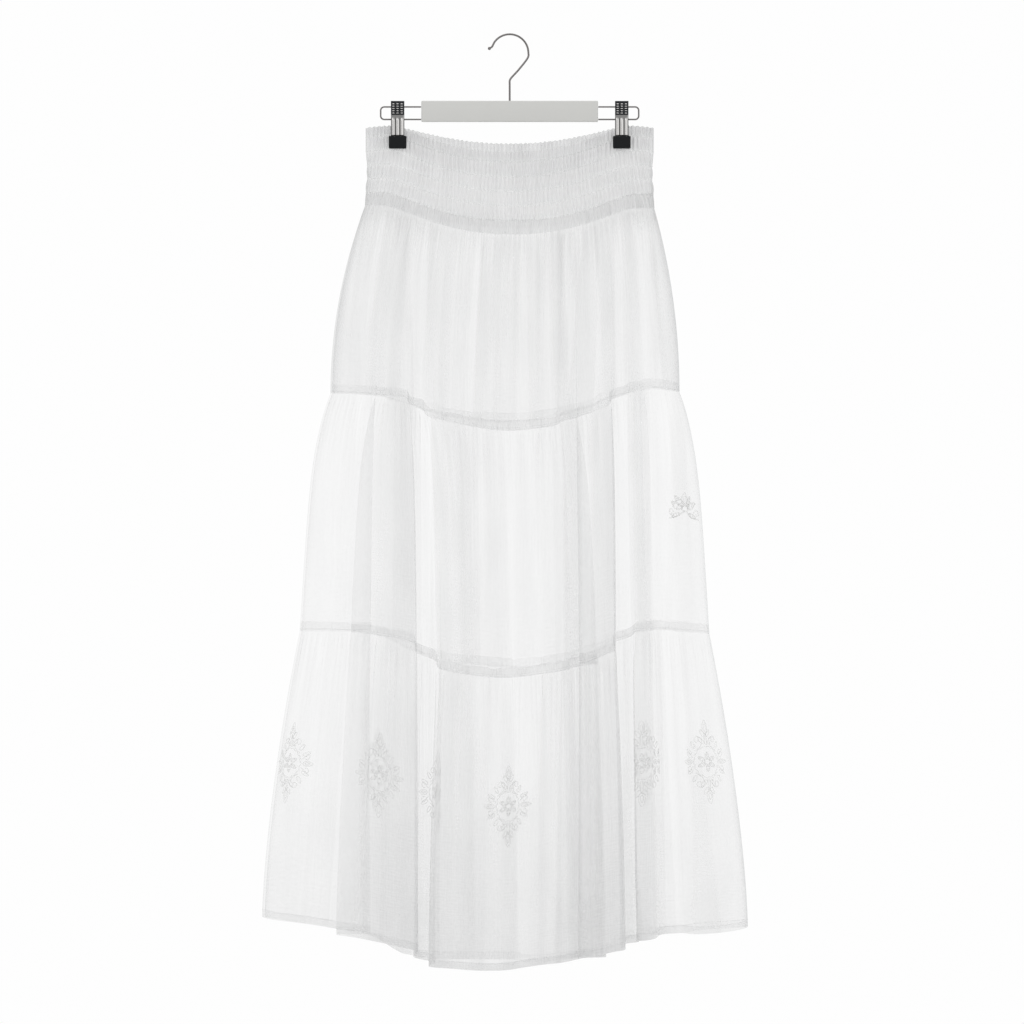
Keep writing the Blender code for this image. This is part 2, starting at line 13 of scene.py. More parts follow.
import bmesh
import bpy
import numpy as np
from bpy.props import FloatProperty, FloatVectorProperty, IntProperty, PointerProperty
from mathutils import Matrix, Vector


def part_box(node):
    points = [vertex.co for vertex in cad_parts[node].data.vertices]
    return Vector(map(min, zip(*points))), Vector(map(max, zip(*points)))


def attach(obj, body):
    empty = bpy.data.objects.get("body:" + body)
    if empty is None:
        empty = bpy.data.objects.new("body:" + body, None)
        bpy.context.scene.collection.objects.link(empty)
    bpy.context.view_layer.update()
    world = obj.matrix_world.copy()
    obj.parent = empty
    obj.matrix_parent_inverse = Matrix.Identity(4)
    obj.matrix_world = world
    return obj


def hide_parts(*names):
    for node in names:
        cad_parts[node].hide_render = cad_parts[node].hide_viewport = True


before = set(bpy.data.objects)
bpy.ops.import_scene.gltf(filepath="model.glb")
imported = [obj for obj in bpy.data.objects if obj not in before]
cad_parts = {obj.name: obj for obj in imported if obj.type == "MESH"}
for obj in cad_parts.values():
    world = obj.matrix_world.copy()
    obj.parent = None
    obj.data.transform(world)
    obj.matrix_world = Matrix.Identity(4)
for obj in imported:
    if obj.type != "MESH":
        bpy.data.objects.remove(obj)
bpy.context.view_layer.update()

bl_info = {
    "name": "Tiered Ruffle Skirt",
    "version": (1, 0, 0),
    "blender": (4, 5, 0),
    "location": "View3D > Sidebar > Skirt",
    "description": "Sheer gauze skirt, a shirred yoke and three gathered tiers, on a clip hanger",
    "category": "Add Mesh",
}

FRONT, BACK = -1, 1
SIDES = (("front", FRONT), ("back", BACK))
FOLD_STEPS = 48               # points worked out along each half fold
TIER_STEPS = 16 * FOLD_STEPS  # points worked out along a tier
WAIST_STEPS = 800             # points worked out along a waist section
LARGEST_SWING = 3.4           # radians; a half fold never swings further than this
SWING_HALVINGS = 40           # steps of the search for a half fold's swing
SEAM_GAP = 0.0003             # room between the solids of two pieces that are sewn together
LOWER_WIRE_Z = -0.0987        # height of the wire that the clips' springs sit on
PLATE_WALL, PLATE_OFF = 0.0008, 0.0006    # thickness of a clip's plate, and how far it stands out
CAP_WALL, CAP_OFF = 0.0007, 0.0012        # the same of the cap on its thumb grip
CAP_SHARE = 0.40              # how far down the plate the cap reaches
FLOOR_Z = -1.33

# ---- waist ----
CLIP_X = 0.1313               # centre of each clip from the middle
WAIST_HALF_WIDTH = 0.1688
YOKE_TOP_Z = -0.1072
YOKE_CORNER_DROP = 0.0029
TOP_SAG = {FRONT: 0.0316, BACK: 0.0204}
SEAM_SAG = {FRONT: 0.0330, BACK: 0.0240}
TOP_BELLY = {FRONT: 0.027, BACK: 0.022}
TOP_SAG_HALF_WIDTH = 0.1390
SEAM_SAG_HALF_WIDTH = 0.1460
SAG_POWERS = (2.2, 1.3)
PINCH_DEPTH = 0.00105
PINCH_HALF_WIDTH = 0.0118
PINCH_SHARE = 0.29
NECK_SHARE = 0.60
YOKE_SEAM_Z_LEFT = -0.1995
YOKE_SEAM_Z_RIGHT = -0.2030
YOKE_HEIGHT = 0.0905
YOKE_TOP_LOOP = 0.0060
# half width, pinch, belly and loop of the yoke's sections below its top
YOKE_NECK = (0.1660, 0.0125, 0.030, 0.0050)
YOKE_FOOT = (0.1695, 0.0200, 0.034, 0.0040)

# ---- levels: the first seam, the second seam and the hem ----
Level = namedtuple("Level", "z_left z_right sag depth gap")
LEVELS = {
    1: Level(-0.4195, -0.4183, 0.0445, 0.030, 0.011),
    2: Level(-0.6979, -0.7014, 0.0526, 0.052, 0.011),
    3: Level(-1.0325, -1.0442, 0.0550, 0.070, 0.012),
}

# One row for each crest or valley, from the left side seam to the right one: its place across
# at the three levels in millimetres, how far it stands out as a share of the level's depth, how
# far it hangs down as a share of the level's sag at each of the three, and how closely the cloth
# is gathered there.
FOLDS = {
    FRONT: np.array((
        (-210, -246, -290, 0, 0, 0, 0, 0.85),
        (-187, -216, -248, 0.55, 0.02, 0, 0.09, 0.85),
        (-161, -168, -171, 0.16, 0.05, 0, 0.3, 0.85),
        (-152, -180, -195, 0.72, 0.07, 0.02, 0.33, 1.05),
        (-124, -119, -119, 0.8, 0.14, 0.2, 0.58, 2.2),
        (-111, -99, -100, 0.06, 0.35, 0.55, 0.85, 1.1),
        (-91, -73, -82, 0.85, 0.68, 0.86, 0.96, 2.1),
        (-11, -11, -15, 1, 1, 1, 1, 1.5),
        (46, 44, 42, 0.84, 0.91, 0.9, 0.86, 1.7),
        (73, 96, 104, 0.04, 0.7, 0.72, 0.74, 1.05),
        (84, 88, 89, 0.74, 0.62, 0.66, 0.7, 1.45),
        (113, 115, 124, 0.78, 0.38, 0.45, 0.55, 2.6),
        (124, 131, 140, 0.06, 0.15, 0.15, 0.4, 1.25),
        (152, 156, 158, 0.62, -0.08, -0.08, 0.3, 2),
        (170, 176, 189, 0.06, -0.1, -0.08, 0.16, 0.95),
        (185, 205, 225, 0.52, -0.06, -0.04, 0.14, 1.1),
        (199, 234, 279, 0, 0, 0, 0, 1),
    )) / (1000, 1000, 1000, 1, 1, 1, 1, 1),
    BACK: np.array((
        (-208, -244, -287, 0, 0, 0, 0, 0.85),
        (-185, -211, -246, 0.56, 0.02, 0, 0.16, 0.9),
        (-154, -166, -184, 0.1, 0.08, 0.06, 0.3, 0.85),
        (-138, -147, -161, 0.76, 0.18, 0.16, 0.44, 1.4),
        (-114, -116, -124, 0.84, 0.36, 0.44, 0.8, 1.6),
        (-95, -90, -94, 0.08, 0.5, 0.56, 0.84, 0.8),
        (-75, -72, -80, 0.84, 0.64, 0.68, 0.88, 1.5),
        (-20, -12, -4, 0.95, 0.78, 0.8, 0.88, 1.5),
        (12, 20, 28, 0.12, 0.78, 0.8, 0.88, 1),
        (44, 57, 66, 0.88, 0.68, 0.7, 0.85, 1.5),
        (92, 101, 108, 0.84, 0.42, 0.46, 0.68, 1.6),
        (117, 129, 139, 0.08, 0.16, 0.14, 0.35, 0.8),
        (148, 160, 166, 0.72, 0, -0.02, 0.28, 1.3),
        (169, 180, 192, 0.08, -0.08, -0.08, 0.2, 0.8),
        (185, 207, 230, 0.52, -0.05, -0.04, 0.12, 0.9),
        (199, 234, 279, 0, 0, 0, 0, 0.85),
    )) / (1000, 1000, 1000, 1, 1, 1, 1, 1),
}
PLACE, REACH, SAG, DENSITY = -1, 3, 3, 7    # a level's place and sag stand its number past these

# Soft troughs and ridges pressed into the panels. Each row is one: its place along the folds, its
# width and depth in millimetres (a ridge stands out, a trough is negative), where it starts and
# ends down the panel, and how far it wanders along the folds on the way.
CREASES = {
    (FRONT, 1): (
        (4.1, 6, 3, 0, 0.95, -0.25), (6.2, 4.5, -2.6, 0.02, 0.8, 0.12),
        (6.62, 6, 2.8, 0, 0.9, -0.1), (7.05, 5, -2.2, 0.05, 0.75, 0.1),
        (7.55, 6.5, 3, 0, 1, 0.22), (7.95, 4, -2.8, 0, 0.85, 0.15),
        (10.4, 5, 2.4, 0, 0.9, 0.1), (12.8, 4.5, -2, 0, 0.7, 0.15),
        (14.85, 5, 2.6, 0, 0.85, -0.1), (1.05, 5.5, -2.6, 0, 0.9, -0.1),
        (3.45, 5, 2.4, 0, 0.8, 0.08),
    ),
    (FRONT, 2): (
        (0.95, 6, 2.8, 0.04, 0.9, -0.06), (3.42, 5, -2.4, 0, 0.85, 0.05),
        (3.8, 4.5, 2.6, 0.05, 0.95, 0.04), (6.43, 5.5, 3.2, 0.02, 1, -0.03),
        (6.75, 4.5, -3, 0, 0.92, 0.03), (7.35, 6, 2.4, 0.06, 0.85, 0.08),
        (7.72, 4.5, -2.2, 0, 0.75, 0.06), (10.45, 5, 2.8, 0, 0.95, 0.04),
        (13.1, 4, -2, 0, 0.8, 0), (14.9, 5.5, 2.6, 0.05, 0.95, 0.05),
        (15.3, 5, -2.2, 0.3, 0.95, 0.03),
    ),
    (FRONT, 3): (
        (0.9, 6, 3, 0.04, 1, -0.05), (1.25, 5, -2.6, 0, 0.85, 0.05),
        (3.3, 5.5, 2.8, 0.03, 0.9, 0.02), (3.62, 4.5, -2.6, 0, 1, -0.04),
        (3.86, 4.5, 2.4, 0.1, 1, 0.03), (6.2, 5.5, -2.6, 0.02, 0.85, 0.04),
        (6.55, 6, 3, 0, 0.95, 0.05), (7.4, 5.5, -2.6, 0, 1, 0.04),
        (7.75, 5, 2.8, 0.03, 0.9, -0.03), (10.25, 4.5, 2.6, 0, 0.95, 0.02),
        (10.7, 4.5, -2.4, 0, 0.9, 0.02), (12.75, 5, 2.4, 0.05, 1, 0),
        (14.8, 5.5, -2.6, 0, 0.9, 0.05), (15.15, 5.5, 2.8, 0.05, 1, 0.03),
    ),
    (BACK, 1): (
        (1, 5.5, 2.6, 0, 0.9, -0.1), (3.55, 5, -2.6, 0, 0.85, 0.12),
        (6.35, 6, 3, 0, 0.95, -0.08), (6.75, 4.5, -2.4, 0.03, 0.8, 0.1),
        (9.3, 6, 2.8, 0, 1, 0.12), (9.7, 5, -2.4, 0, 0.8, 0.1),
        (12.1, 5, 2.4, 0.05, 0.9, -0.08), (14.2, 5, -2.2, 0, 0.85, 0.05),
    ),
    (BACK, 2): (
        (1.05, 6, -2.6, 0, 0.9, 0.05), (3.4, 5.5, 2.8, 0.03, 0.95, 0.04),
        (6.25, 5.5, -2.8, 0, 0.9, 0.05), (6.6, 5, 3, 0.02, 1, -0.04),
        (9.35, 6, -2.6, 0, 0.85, 0.05), (9.75, 5, 2.6, 0.05, 0.95, 0.03),
        (12, 5, -2.2, 0, 0.8, 0.03), (14.1, 5.5, 2.6, 0, 0.95, 0.05),
    ),
    (BACK, 3): (
        (0.95, 6, -2.8, 0.03, 1, 0.04), (1.3, 5, 2.6, 0, 0.9, -0.04),
        (3.5, 5.5, 3, 0, 1, 0.03), (6.3, 6, 2.8, 0.02, 0.95, 0.04),
        (6.65, 5, -2.8, 0, 1, 0.03), (9.25, 5, 2.8, 0, 0.9, 0.03),
        (9.6, 5.5, -2.6, 0.04, 1, 0.03), (11.95, 5, 2.4, 0, 0.95, 0.02),
        (14.05, 6, -2.6, 0, 1, 0.04),
    ),
}

# Cloth folded over flat on itself along a long soft fold, so that it hides more there (or less,
# where it is drawn open). Each row is one: its left and right edge at the panel's top, then at
# its foot, and how softly each edge fades, all in millimetres; how much closer the cloth is laid;
# and where it starts and ends down the panel.
LAPS = {
    (FRONT, 1): (
        (-136, -119, -184, -112, 12, 1.8, 0.34, 0, 1.3),
        (-133, -122, -128, -116, 5, 3, 0.26, 0, 0.7),
        (-116, -99, -112, -91, 1.8, 10, -0.26, 0.06, 1.3),
        (-75, -63, -91, -74, 7, 6, 0.3, 0, 1.2),
        (-44, -33, -52, -44, 6, 1.5, -0.12, 0.05, 1.1),
        (-31, -4, -46, -35, 1.8, 6, 0.32, 0, 1.3),
        (9, 19, 10, 21, 6, 1.5, -0.14, 0.04, 1.2),
        (20, 36, 23, 31, 1.5, 9, 0.34, 0, 1.3),
        (56, 70, 54, 66, 1.5, 7, 0.42, 0, 1.3),
        (87, 106, 66, 98, 3, 3, 0.5, 0, 1.3),
        (115, 121.5, 101, 124, 6, 1.5, 0.3, 0, 1.3),
        (122, 130, 124.5, 134, 1.5, 5, -0.22, 0.04, 1.3),
        (132, 139, 134, 150, 4, 5, 0.2, 0, 1.2),
        (148, 158, 153, 180, 5, 1.5, -0.3, 0.1, 1.3),
        (163, 168, 181, 187, 1.5, 3, 0.3, 0.08, 1.3),
    ),
    (FRONT, 2): (
        (-168, -110, -166, -109, 22, 5, 0.66, -0.2, 1.3),
        (-92, -50, -92, -48, 1.5, 12, 0.3, -0.2, 1.3),
        (-32, -16, -28, -10, 4, 3, 0.14, 0, 0.9),
        (30, 43, 34, 44, 7, 2, 0.18, -0.2, 0.7),
        (-104, -91, -102, -91, 4, 4, -0.28, -0.1, 1.3),
        (60, 83, 63, 83, 3, 6, 0.84, -0.2, 1.3),
        (96, 122.5, 98, 123.5, 8, 3, 0.68, -0.2, 1.3),
        (127, 138, 130, 142, 3, 3, -0.3, -0.1, 1.3),
        (186, 222, 188, 214, 4, 10, 0.22, 0.3, 1.3),
        (138, 163, 143, 166, 1.5, 2, 0.46, -0.2, 1.3),
        (190, 214, 182, 188, 4, 8, 0.42, -0.2, 1.3),
        (-205, -196, -212, -205, 4, 4, 0.22, -0.1, 1),
    ),
    (FRONT, 3): (
        (-172, -109, -168, -106, 20, 6, 0.56, -0.2, 1.3),
        (-84, -47, -89, -52, 1.5, 13, 0.36, -0.2, 1.3),
        (-30, -22, -36, -30, 4, 1.5, 0.16, 0, 1.2),
        (-48, 34, -48, 34, 16, 16, 0.36, 0.4, 1.4),
        (37, 59, 32, 60, 6, 4, 0.42, -0.2, 1.3),
        (-106, -88, -108, -90, 4, 4, 0.4, -0.1, 1.3),
        (126, 139, 136, 156, 4, 4, 0.35, -0.1, 1.3),
        (176, 187, 178, 200, 3, 4, -0.25, -0.1, 1.3),
        (100, 124, 102, 134, 8, 3, 0.64, -0.2, 1.3),
        (60, 83, 52, 83, 3, 6, 0.88, -0.2, 1.3),
        (141, 176, 150, 182, 2.5, 2.5, 0.62, -0.2, 1.3),
        (189, 205, 204, 247, 3, 6, 0.5, -0.2, 1.3),
        (-232, -222, -254, -238, 5, 3, 0.18, 0, 1.2),
    ),
    (BACK, 1): (
        (-140, -118, -166, -130, 10, 2, 0.32, 0, 1.3),
        (-94, -82, -106, -90, 2, 8, 0.3, 0, 1.2),
        (-46, -36, -52, -42, 6, 2, -0.16, 0.05, 1.2),
        (-12, 10, -20, 6, 2, 7, 0.34, 0, 1.3),
        (46, 62, 52, 72, 6, 2, 0.36, 0, 1.2),
        (98, 110, 112, 128, 2, 6, 0.32, 0, 1.3),
        (142, 150, 160, 172, 5, 3, -0.2, 0.08, 1.3),
    ),
    (BACK, 2): (
        (-196, -180, -206, -186, 4, 2, 0.34, -0.2, 1.3),
        (-136, -112, -138, -112, 2, 6, 0.32, -0.2, 1.3),
        (-62, -38, -60, -34, 8, 2, 0.28, -0.2, 1.2),
        (50, 86, 54, 94, 2, 10, 0.32, -0.2, 1.3),
        (148, 162, 152, 172, 3, 2, 0.36, -0.2, 1.3),
    ),
    (BACK, 3): (
        (-214, -190, -246, -214, 4, 2, 0.38, -0.2, 1.3),
        (-146, -122, -154, -124, 2, 8, 0.34, -0.2, 1.3),
        (-70, -44, -74, -40, 9, 2, 0.3, -0.2, 1.3),
        (30, 44, 38, 52, 2, 6, 0.26, -0.2, 1.3),
        (62, 98, 70, 106, 2, 8, 0.34, -0.2, 1.3),
        (160, 178, 170, 196, 3, 2, 0.4, -0.2, 1.3),
    ),
}
LAP_RISE = 0.0012             # how far a lap of gain 1 stands out

YOKE_CUT = (0.58, 0.10)
YOKE_GRID = (740, 66)
# how closely the yoke is gathered down it: the share, the fullness, and its change at the sides
YOKE_DENSITY = ((0.0, 1.19, 0.05), (0.09, 1.19, 0.0), (0.19, 1.05, -0.16), (0.34, 0.89, -0.06),
                (0.60, 0.755, 0.20), (1.0, 0.71, 0.20))
ELASTIC_WIDTH = 0.0011        # of the open line that an elastic draws across the yoke
CLIP_PRESS = 0.0130           # half width of the cloth that a clip presses flat
# flat size of each tier, faces of its sheet across and down, gathers along its top, and how
# closely it is gathered: away from the folds, how much the folds count, and at its foot
Making = namedtuple("Making", "cut grid gathers plain folds foot")
TIERS = {
    1: Making((0.57, 0.24), (450, 70), 88, 2.2, 0.12, 0.82),
    2: Making((0.80, 0.31), (500, 90), 100, 1.0, 1.0, 1.05),
    3: Making((1.05, 0.37), (580, 106), 118, 1.0, 1.0, 1.72),
}
RIDGE_WEIGHTS = (0.18, 0.14, 0.16)    # how much denser the cloth is on each kind of ridge
SIDE_SEAM = 0.014             # width of the doubled cloth at a tier's side seam
SEAM_STITCH = 0.0022          # how far the row of stitches lies above a seam
STITCH_BEND = (0.0, 0.00022, 0.00022, 0.0)    # how far a stitch lifts off the cloth along it
THREAD_LIFT = 0.00015         # how far the embroidery lifts off the cloth
SATIN_LINES = 5               # satin stitches across a petal
PETAL_POINTS, SCROLL_POINTS = 18, 30


# ---- plan sections ----

def blend(start, end, share):
    """The point or number that lies this share of the way from start to end."""
    return start + (end - start) * share


def ease(share):
    """0 to 1 with a soft start and end."""
    share = np.clip(share, 0.0, 1.0)
    return share * share * (3 - 2 * share)


def bell(away, width):
    """1 at no distance, and softly down to 0 past this width."""
    return np.exp(-(away / width) ** 2)


def held(share, start, end, fade, early):
    """1 between two shares down a panel, with soft ends."""
    return ease((share - start) / fade + early) * ease((end - share) / 0.25)


def from_side(cloth, length):
    """Distance from the nearer side seam, on cloth of this length."""
    return np.minimum(cloth, 1 - cloth) * length


def unit(vectors):
    """The vectors, each at a length of 1."""
    return vectors / np.linalg.norm(vectors, axis=-1, keepdims=True)


def swing_path(swing):
    """Points of a half fold one unit long whose direction swings out by this angle and back."""
    angles = swing * np.sin(np.pi * (np.arange(FOLD_STEPS) + 0.5) / FOLD_STEPS)
    steps = np.stack([np.cos(angles), np.sin(angles)], axis=1) / FOLD_STEPS
    return np.vstack([[0.0, 0.0], np.cumsum(steps, axis=0)])


def half_fold(start, end):
    """Points from one crest or valley to the next, along a sheet that swings out and back."""
    across, rise = end - start
    wanted = math.atan2(abs(rise), across)
    low, high = 0.0, LARGEST_SWING
    for _ in range(SWING_HALVINGS):
        middle = (low + high) / 2
        tip = swing_path(middle)[-1]
        if math.atan2(tip[1], tip[0]) < wanted:
            low = middle
        else:
            high = middle
    path = swing_path(low)
    length = math.hypot(across, rise) / math.hypot(*path[-1])
    placed = start + path * length * (1.0, 1.0 if rise >= 0.0 else -1.0)
    shares = np.linspace(0.0, 1.0, FOLD_STEPS + 1)[:, None]
    return placed + (end - placed[-1]) * shares


def side_turn(seam, crest):
    """Quarter oval from a side seam, where the cloth runs to the front, to its first crest."""
    turn = np.linspace(0.0, np.pi / 2, FOLD_STEPS + 1)
    return np.stack([blend(seam[0], crest[0], 1 - np.cos(turn)),
                     blend(seam[1], crest[1], np.sin(turn))], axis=1)


class Section:
    """A plan section as (across, out) points; whole places along it are its crests and valleys."""

    def __init__(self, places, points):
        self.places, self.points = places, points
        steps = np.linalg.norm(np.diff(points, axis=0), axis=1)
        self.cloth = np.concatenate([[0.0], np.cumsum(steps)])
        self.length = self.cloth[-1]

    def read(self, place):
        return np.stack([np.interp(place, self.places, column) for column in self.points.T],
                        axis=-1)

    def outward(self, place):
        reach = 0.02
        along = self.read(place + reach) - self.read(place - reach)
        out = np.stack([-along[..., 1], along[..., 0]], axis=-1)
        out[place <= 0.0] = (-1.0, 0.0)
        out[place >= self.places[-1]] = (1.0, 0.0)
        return unit(out)


def fold_section(folds, number):
    """The section of one level, through all its folds."""
    level = LEVELS[number]
    out = level.gap + level.depth * folds[:, REACH]
    out[0] = out[-1] = SEAM_GAP / 2
    nodes = np.stack([folds[:, PLACE + number], out], axis=1)
    halves = [side_turn(nodes[0], nodes[1])]
    halves += [half_fold(start, end) for start, end in zip(nodes[1:-2], nodes[2:-1])]
    halves.append(side_turn(nodes[-1], nodes[-2])[::-1])
    points = np.vstack([halves[0]] + [half[1:] for half in halves[1:]])
    return Section(np.linspace(0.0, len(halves), len(points)), points)


def waist_curve(half_width, pinch, belly, loop):
    """Waist section by share of its length: a belly between the clips and a loop outside each."""
    steps = np.linspace(0.0, 1.0, WAIST_STEPS + 1)
    across = half_width * np.sin(np.pi * (steps - 0.5))
    loop_start = CLIP_X + PINCH_HALF_WIDTH
    swell = np.cos(np.pi / 2 * np.minimum(1.0, abs(across) / (CLIP_X - PINCH_HALF_WIDTH))) ** 2
    share = np.clip((abs(across) - loop_start) / (half_width - loop_start), 0.0, 1.0)
    rounding = np.sqrt(np.maximum(0.0, 1 - share ** 4))
    out = np.where(abs(across) <= loop_start, blend(pinch, belly, swell),
                   (pinch + loop * share * share) * rounding)
    section = Section(steps, np.stack([across, np.maximum(out, SEAM_GAP / 2)], axis=1))
    section.places = section.cloth / section.length
    return section


def yoke_foot_along(folds):
    """The yoke's foot with places along the folds of the tier below it."""
    foot = waist_curve(*YOKE_FOOT)
    across = folds[:, PLACE + 1]
    shares = (across - across[0]) / (across[-1] - across[0])
    foot.places = np.interp(foot.places, shares, np.arange(len(folds)))
    return foot


# ---- heights ----

def seam_height(folds, number, place):
    """Height of a level at a place along the folds: it hangs lower round the middle."""
    level, sags = LEVELS[number], folds[:, SAG + number]
    fold = np.clip(place.astype(int), 0, len(folds) - 2)
    past = place - fold
    slope = np.gradient(sags)
    sag = blend(sags[fold], sags[fold + 1], ease(past)) \
        + past * (1 - past) * ((1 - past) * slope[fold] - past * slope[fold + 1])
    return blend(level.z_left, level.z_right, place / (len(folds) - 1)) - level.sag * sag


def middle_share(across, half_width):
    """1 at the middle of the waist, 0 at this half width and beyond it."""
    flat, rounding = SAG_POWERS
    return np.maximum(0.0, 1.0 - (abs(across) / half_width) ** flat) ** rounding


def yoke_seam_height(across, facing):
    side = blend(YOKE_SEAM_Z_LEFT, YOKE_SEAM_Z_RIGHT, 0.5 + across / (2 * WAIST_HALF_WIDTH))
    return side - SEAM_SAG[facing] * middle_share(across, SEAM_SAG_HALF_WIDTH)


def yoke_top_height(across, facing):
    beyond = np.maximum(0.0, (abs(across) - CLIP_X) / (WAIST_HALF_WIDTH - CLIP_X))
    return YOKE_TOP_Z - YOKE_CORNER_DROP * beyond ** 2 \
        - TOP_SAG[facing] * middle_share(across, TOP_SAG_HALF_WIDTH)


# ---- relief ----

class Ridges:
    """A row of uneven ridges and furrows across a panel, each with its own height and length."""

    def __init__(self, seed, count, height, rise, end, unevenness=0.5):
        draw = np.random.default_rng(seed)
        steps = 1 + unevenness * draw.uniform(-1, 1, 2 * count)
        self.edges = np.concatenate([[0.0], np.cumsum(steps)]) / np.sum(steps)
        self.index = np.arange(2 * count + 1)
        self.height = height * (1 + unevenness * draw.uniform(-1, 1, 2 * count + 1))
        self.end = end * (1 + 0.6 * unevenness * draw.uniform(-1, 1, 2 * count + 1))
        self.rise, self.nominal = rise, height

    def read(self, cloth, share=0.5):
        index = np.interp(cloth, self.edges, self.index)
        height = np.interp(index, self.index, self.height)
        end = np.interp(index, self.index, self.end)
        fade = np.clip(1 - (share - self.rise) / (end - self.rise), 0.0, 1.0) ** 1.2
        return height * np.cos(np.pi * index) * ease(share / self.rise) * fade


class Tier:
    """The front or back panel of one tier."""

    def __init__(self, number, facing, sizes):
        self.number, self.facing, self.folds = number, facing, FOLDS[facing]
        self.making = TIERS[number]
        self.cut = self.making.cut
        above = number - 1
        self.top = fold_section(self.folds, above) if above else yoke_foot_along(self.folds)
        self.bottom = fold_section(self.folds, number)
        self.places = np.linspace(0.0, len(self.folds) - 1, TIER_STEPS + 1)
        self.cloth = sum(np.interp(self.places, section.places, section.cloth) / section.length
                         for section in (self.top, self.bottom)) / 2
        drop = self.top_height(self.places) - self.bottom_height(self.places)
        self.height = float(np.mean(drop) + drop[0]) / 2
        seed = 10 * number + (0 if facing == FRONT else 5)
        gathers, height = self.making.gathers, sizes.gather_height
        self.ridges = (Ridges(seed, gathers, height, 0.035, 0.34, 0.72),
                       Ridges(seed + 1, gathers // 3, 1.2 * height, 0.08, 0.85),
                       Ridges(seed + 2, 13 + 2 * number, sizes.soft_fold_height, 0.28, 1.9, 0.45))
        self.puckers = Ridges(seed + 3, gathers, 0.35 * height, 0.2, 1.4)

    def top_height(self, place):
        if self.number == 1:
            return yoke_seam_height(self.top.read(place)[..., 0], self.facing)
        return seam_height(self.folds, self.number - 1, place)

    def bottom_height(self, place):
        return seam_height(self.folds, self.number, place)

    def opened(self, share):
        """How much of its widening the tier has done this far down: it bells out under its seam."""
        if self.number == 1:
            return 1 - (1 - share) ** 2.0
        if self.number == 2:
            return 0.5 * (1 - (1 - share) ** 5) + 0.5 * share
        return 1 - (1 - share) ** 1.5

    def place_at(self, cloth):
        return np.interp(cloth, self.cloth, self.places)

    def cloth_at(self, place):
        return np.interp(place, self.places, self.cloth)

    def length_at(self, share):
        return blend(self.top.length, self.bottom.length, self.opened(share))

    def folded_at(self, cloth):
        return np.interp(self.place_at(cloth), np.arange(len(self.folds)), self.folds[:, DENSITY])

    def point(self, cloth, share):
        """The place in plan of the plain panel."""
        place = self.place_at(cloth)
        return blend(self.top.read(place), self.bottom.read(place), self.opened(share)[..., None])

    def outward(self, cloth, share):
        """The direction in which the panel faces, in plan."""
        place = self.place_at(cloth)
        return unit(blend(self.top.outward(place), self.bottom.outward(place),
                          self.opened(share)[..., None]))

    def laid_over(self, cloth, share):
        """The laps of the panel at a place, as the share by which they close its cloth."""
        across = 1000 * self.point(cloth, share)[..., 0]
        closed = np.zeros_like(cloth)
        for left, right, left_foot, right_foot, fade_left, fade_right, gain, start, end \
                in LAPS[self.facing, self.number]:
            closed += gain * held(share, start, end, 0.12, 0.3) \
                * ease((across - blend(left, left_foot, share)) / fade_left + 0.5) \
                * ease((blend(right, right_foot, share) - across) / fade_right + 0.5)
        return closed

    def gathered(self, cloth):
        """How closely what is sewn inside the panel is gathered, about 1 at its middle."""
        return np.minimum(1.35 - 0.8 * abs(2 * cloth - 1), 1.4 * (self.folded_at(cloth) / 1.5) ** 2)

    def fullness(self, cloth, share):
        """How much closer the cloth is gathered than where it hangs plain."""
        making, place = self.making, self.place_at(cloth)
        gathered = sum(weight * ridges.read(cloth, share) / ridges.nominal
                       for weight, ridges in zip(RIDGE_WEIGHTS, self.ridges))
        full = blend(making.plain, self.folded_at(cloth), making.folds) \
            * blend(1.0, making.foot, share ** 1.5) \
            * (1 + self.laid_over(cloth, share)) * (1 + gathered)
        turned = np.where((place < 1) | (place > len(self.folds) - 2), 1.0,
                          abs(self.outward(cloth, share)[..., 1]))
        doubled = bell(from_side(cloth, self.length_at(share)), SIDE_SEAM)
        full *= (0.50 + 0.52 * turned) * (1 + 1.6 * doubled)
        if self.number == 1:
            full *= 1 + 0.9 * (2 * cloth - 1) ** 2 * bell(share, 0.08)
        return full

    def relief(self, cloth, share):
        """How far the cloth stands out of the plain panel."""
        wander, side_fade, top_fade, foot_fade = 0.0012, 0.010, 0.02, 0.10
        wandered = cloth + wander * np.sin(9.0 * share + 23.0 * cloth) * ease(share / 0.5)
        raised = sum(ridges.read(wandered, share) for ridges in self.ridges)
        length = self.length_at(share)
        for place, width, depth, start, end, drift in CREASES[self.facing, self.number]:
            away = 1000 * (cloth - self.cloth_at(place + drift * share)) * length
            raised += depth / 1000 * bell(away, width) * held(share, start, end, 0.10, 0.15)
        raised += LAP_RISE * self.laid_over(cloth, share)
        if self.number < 3:
            raised = raised * ease((1 - share) / foot_fade) \
                + self.puckers.read(cloth, (1 - share) / 0.14)
        return raised * ease(from_side(cloth, length) / side_fade) * ease(share / top_fade)

    def surface(self, cloth, share, lift=0.0):
        """The points of the cloth, lifted off it by this much."""
        share, place = np.broadcast_to(share, cloth.shape), self.place_at(cloth)
        out = self.outward(cloth, share)
        steady = 0.25 + 0.75 * abs(out[..., 1])
        point = self.point(cloth, share) \
            + out * (steady * self.relief(cloth, share) + lift)[..., None]
        height = blend(self.top_height(place), self.bottom_height(place), share)
        return np.stack([point[..., 0], self.facing * point[..., 1], height], axis=-1)


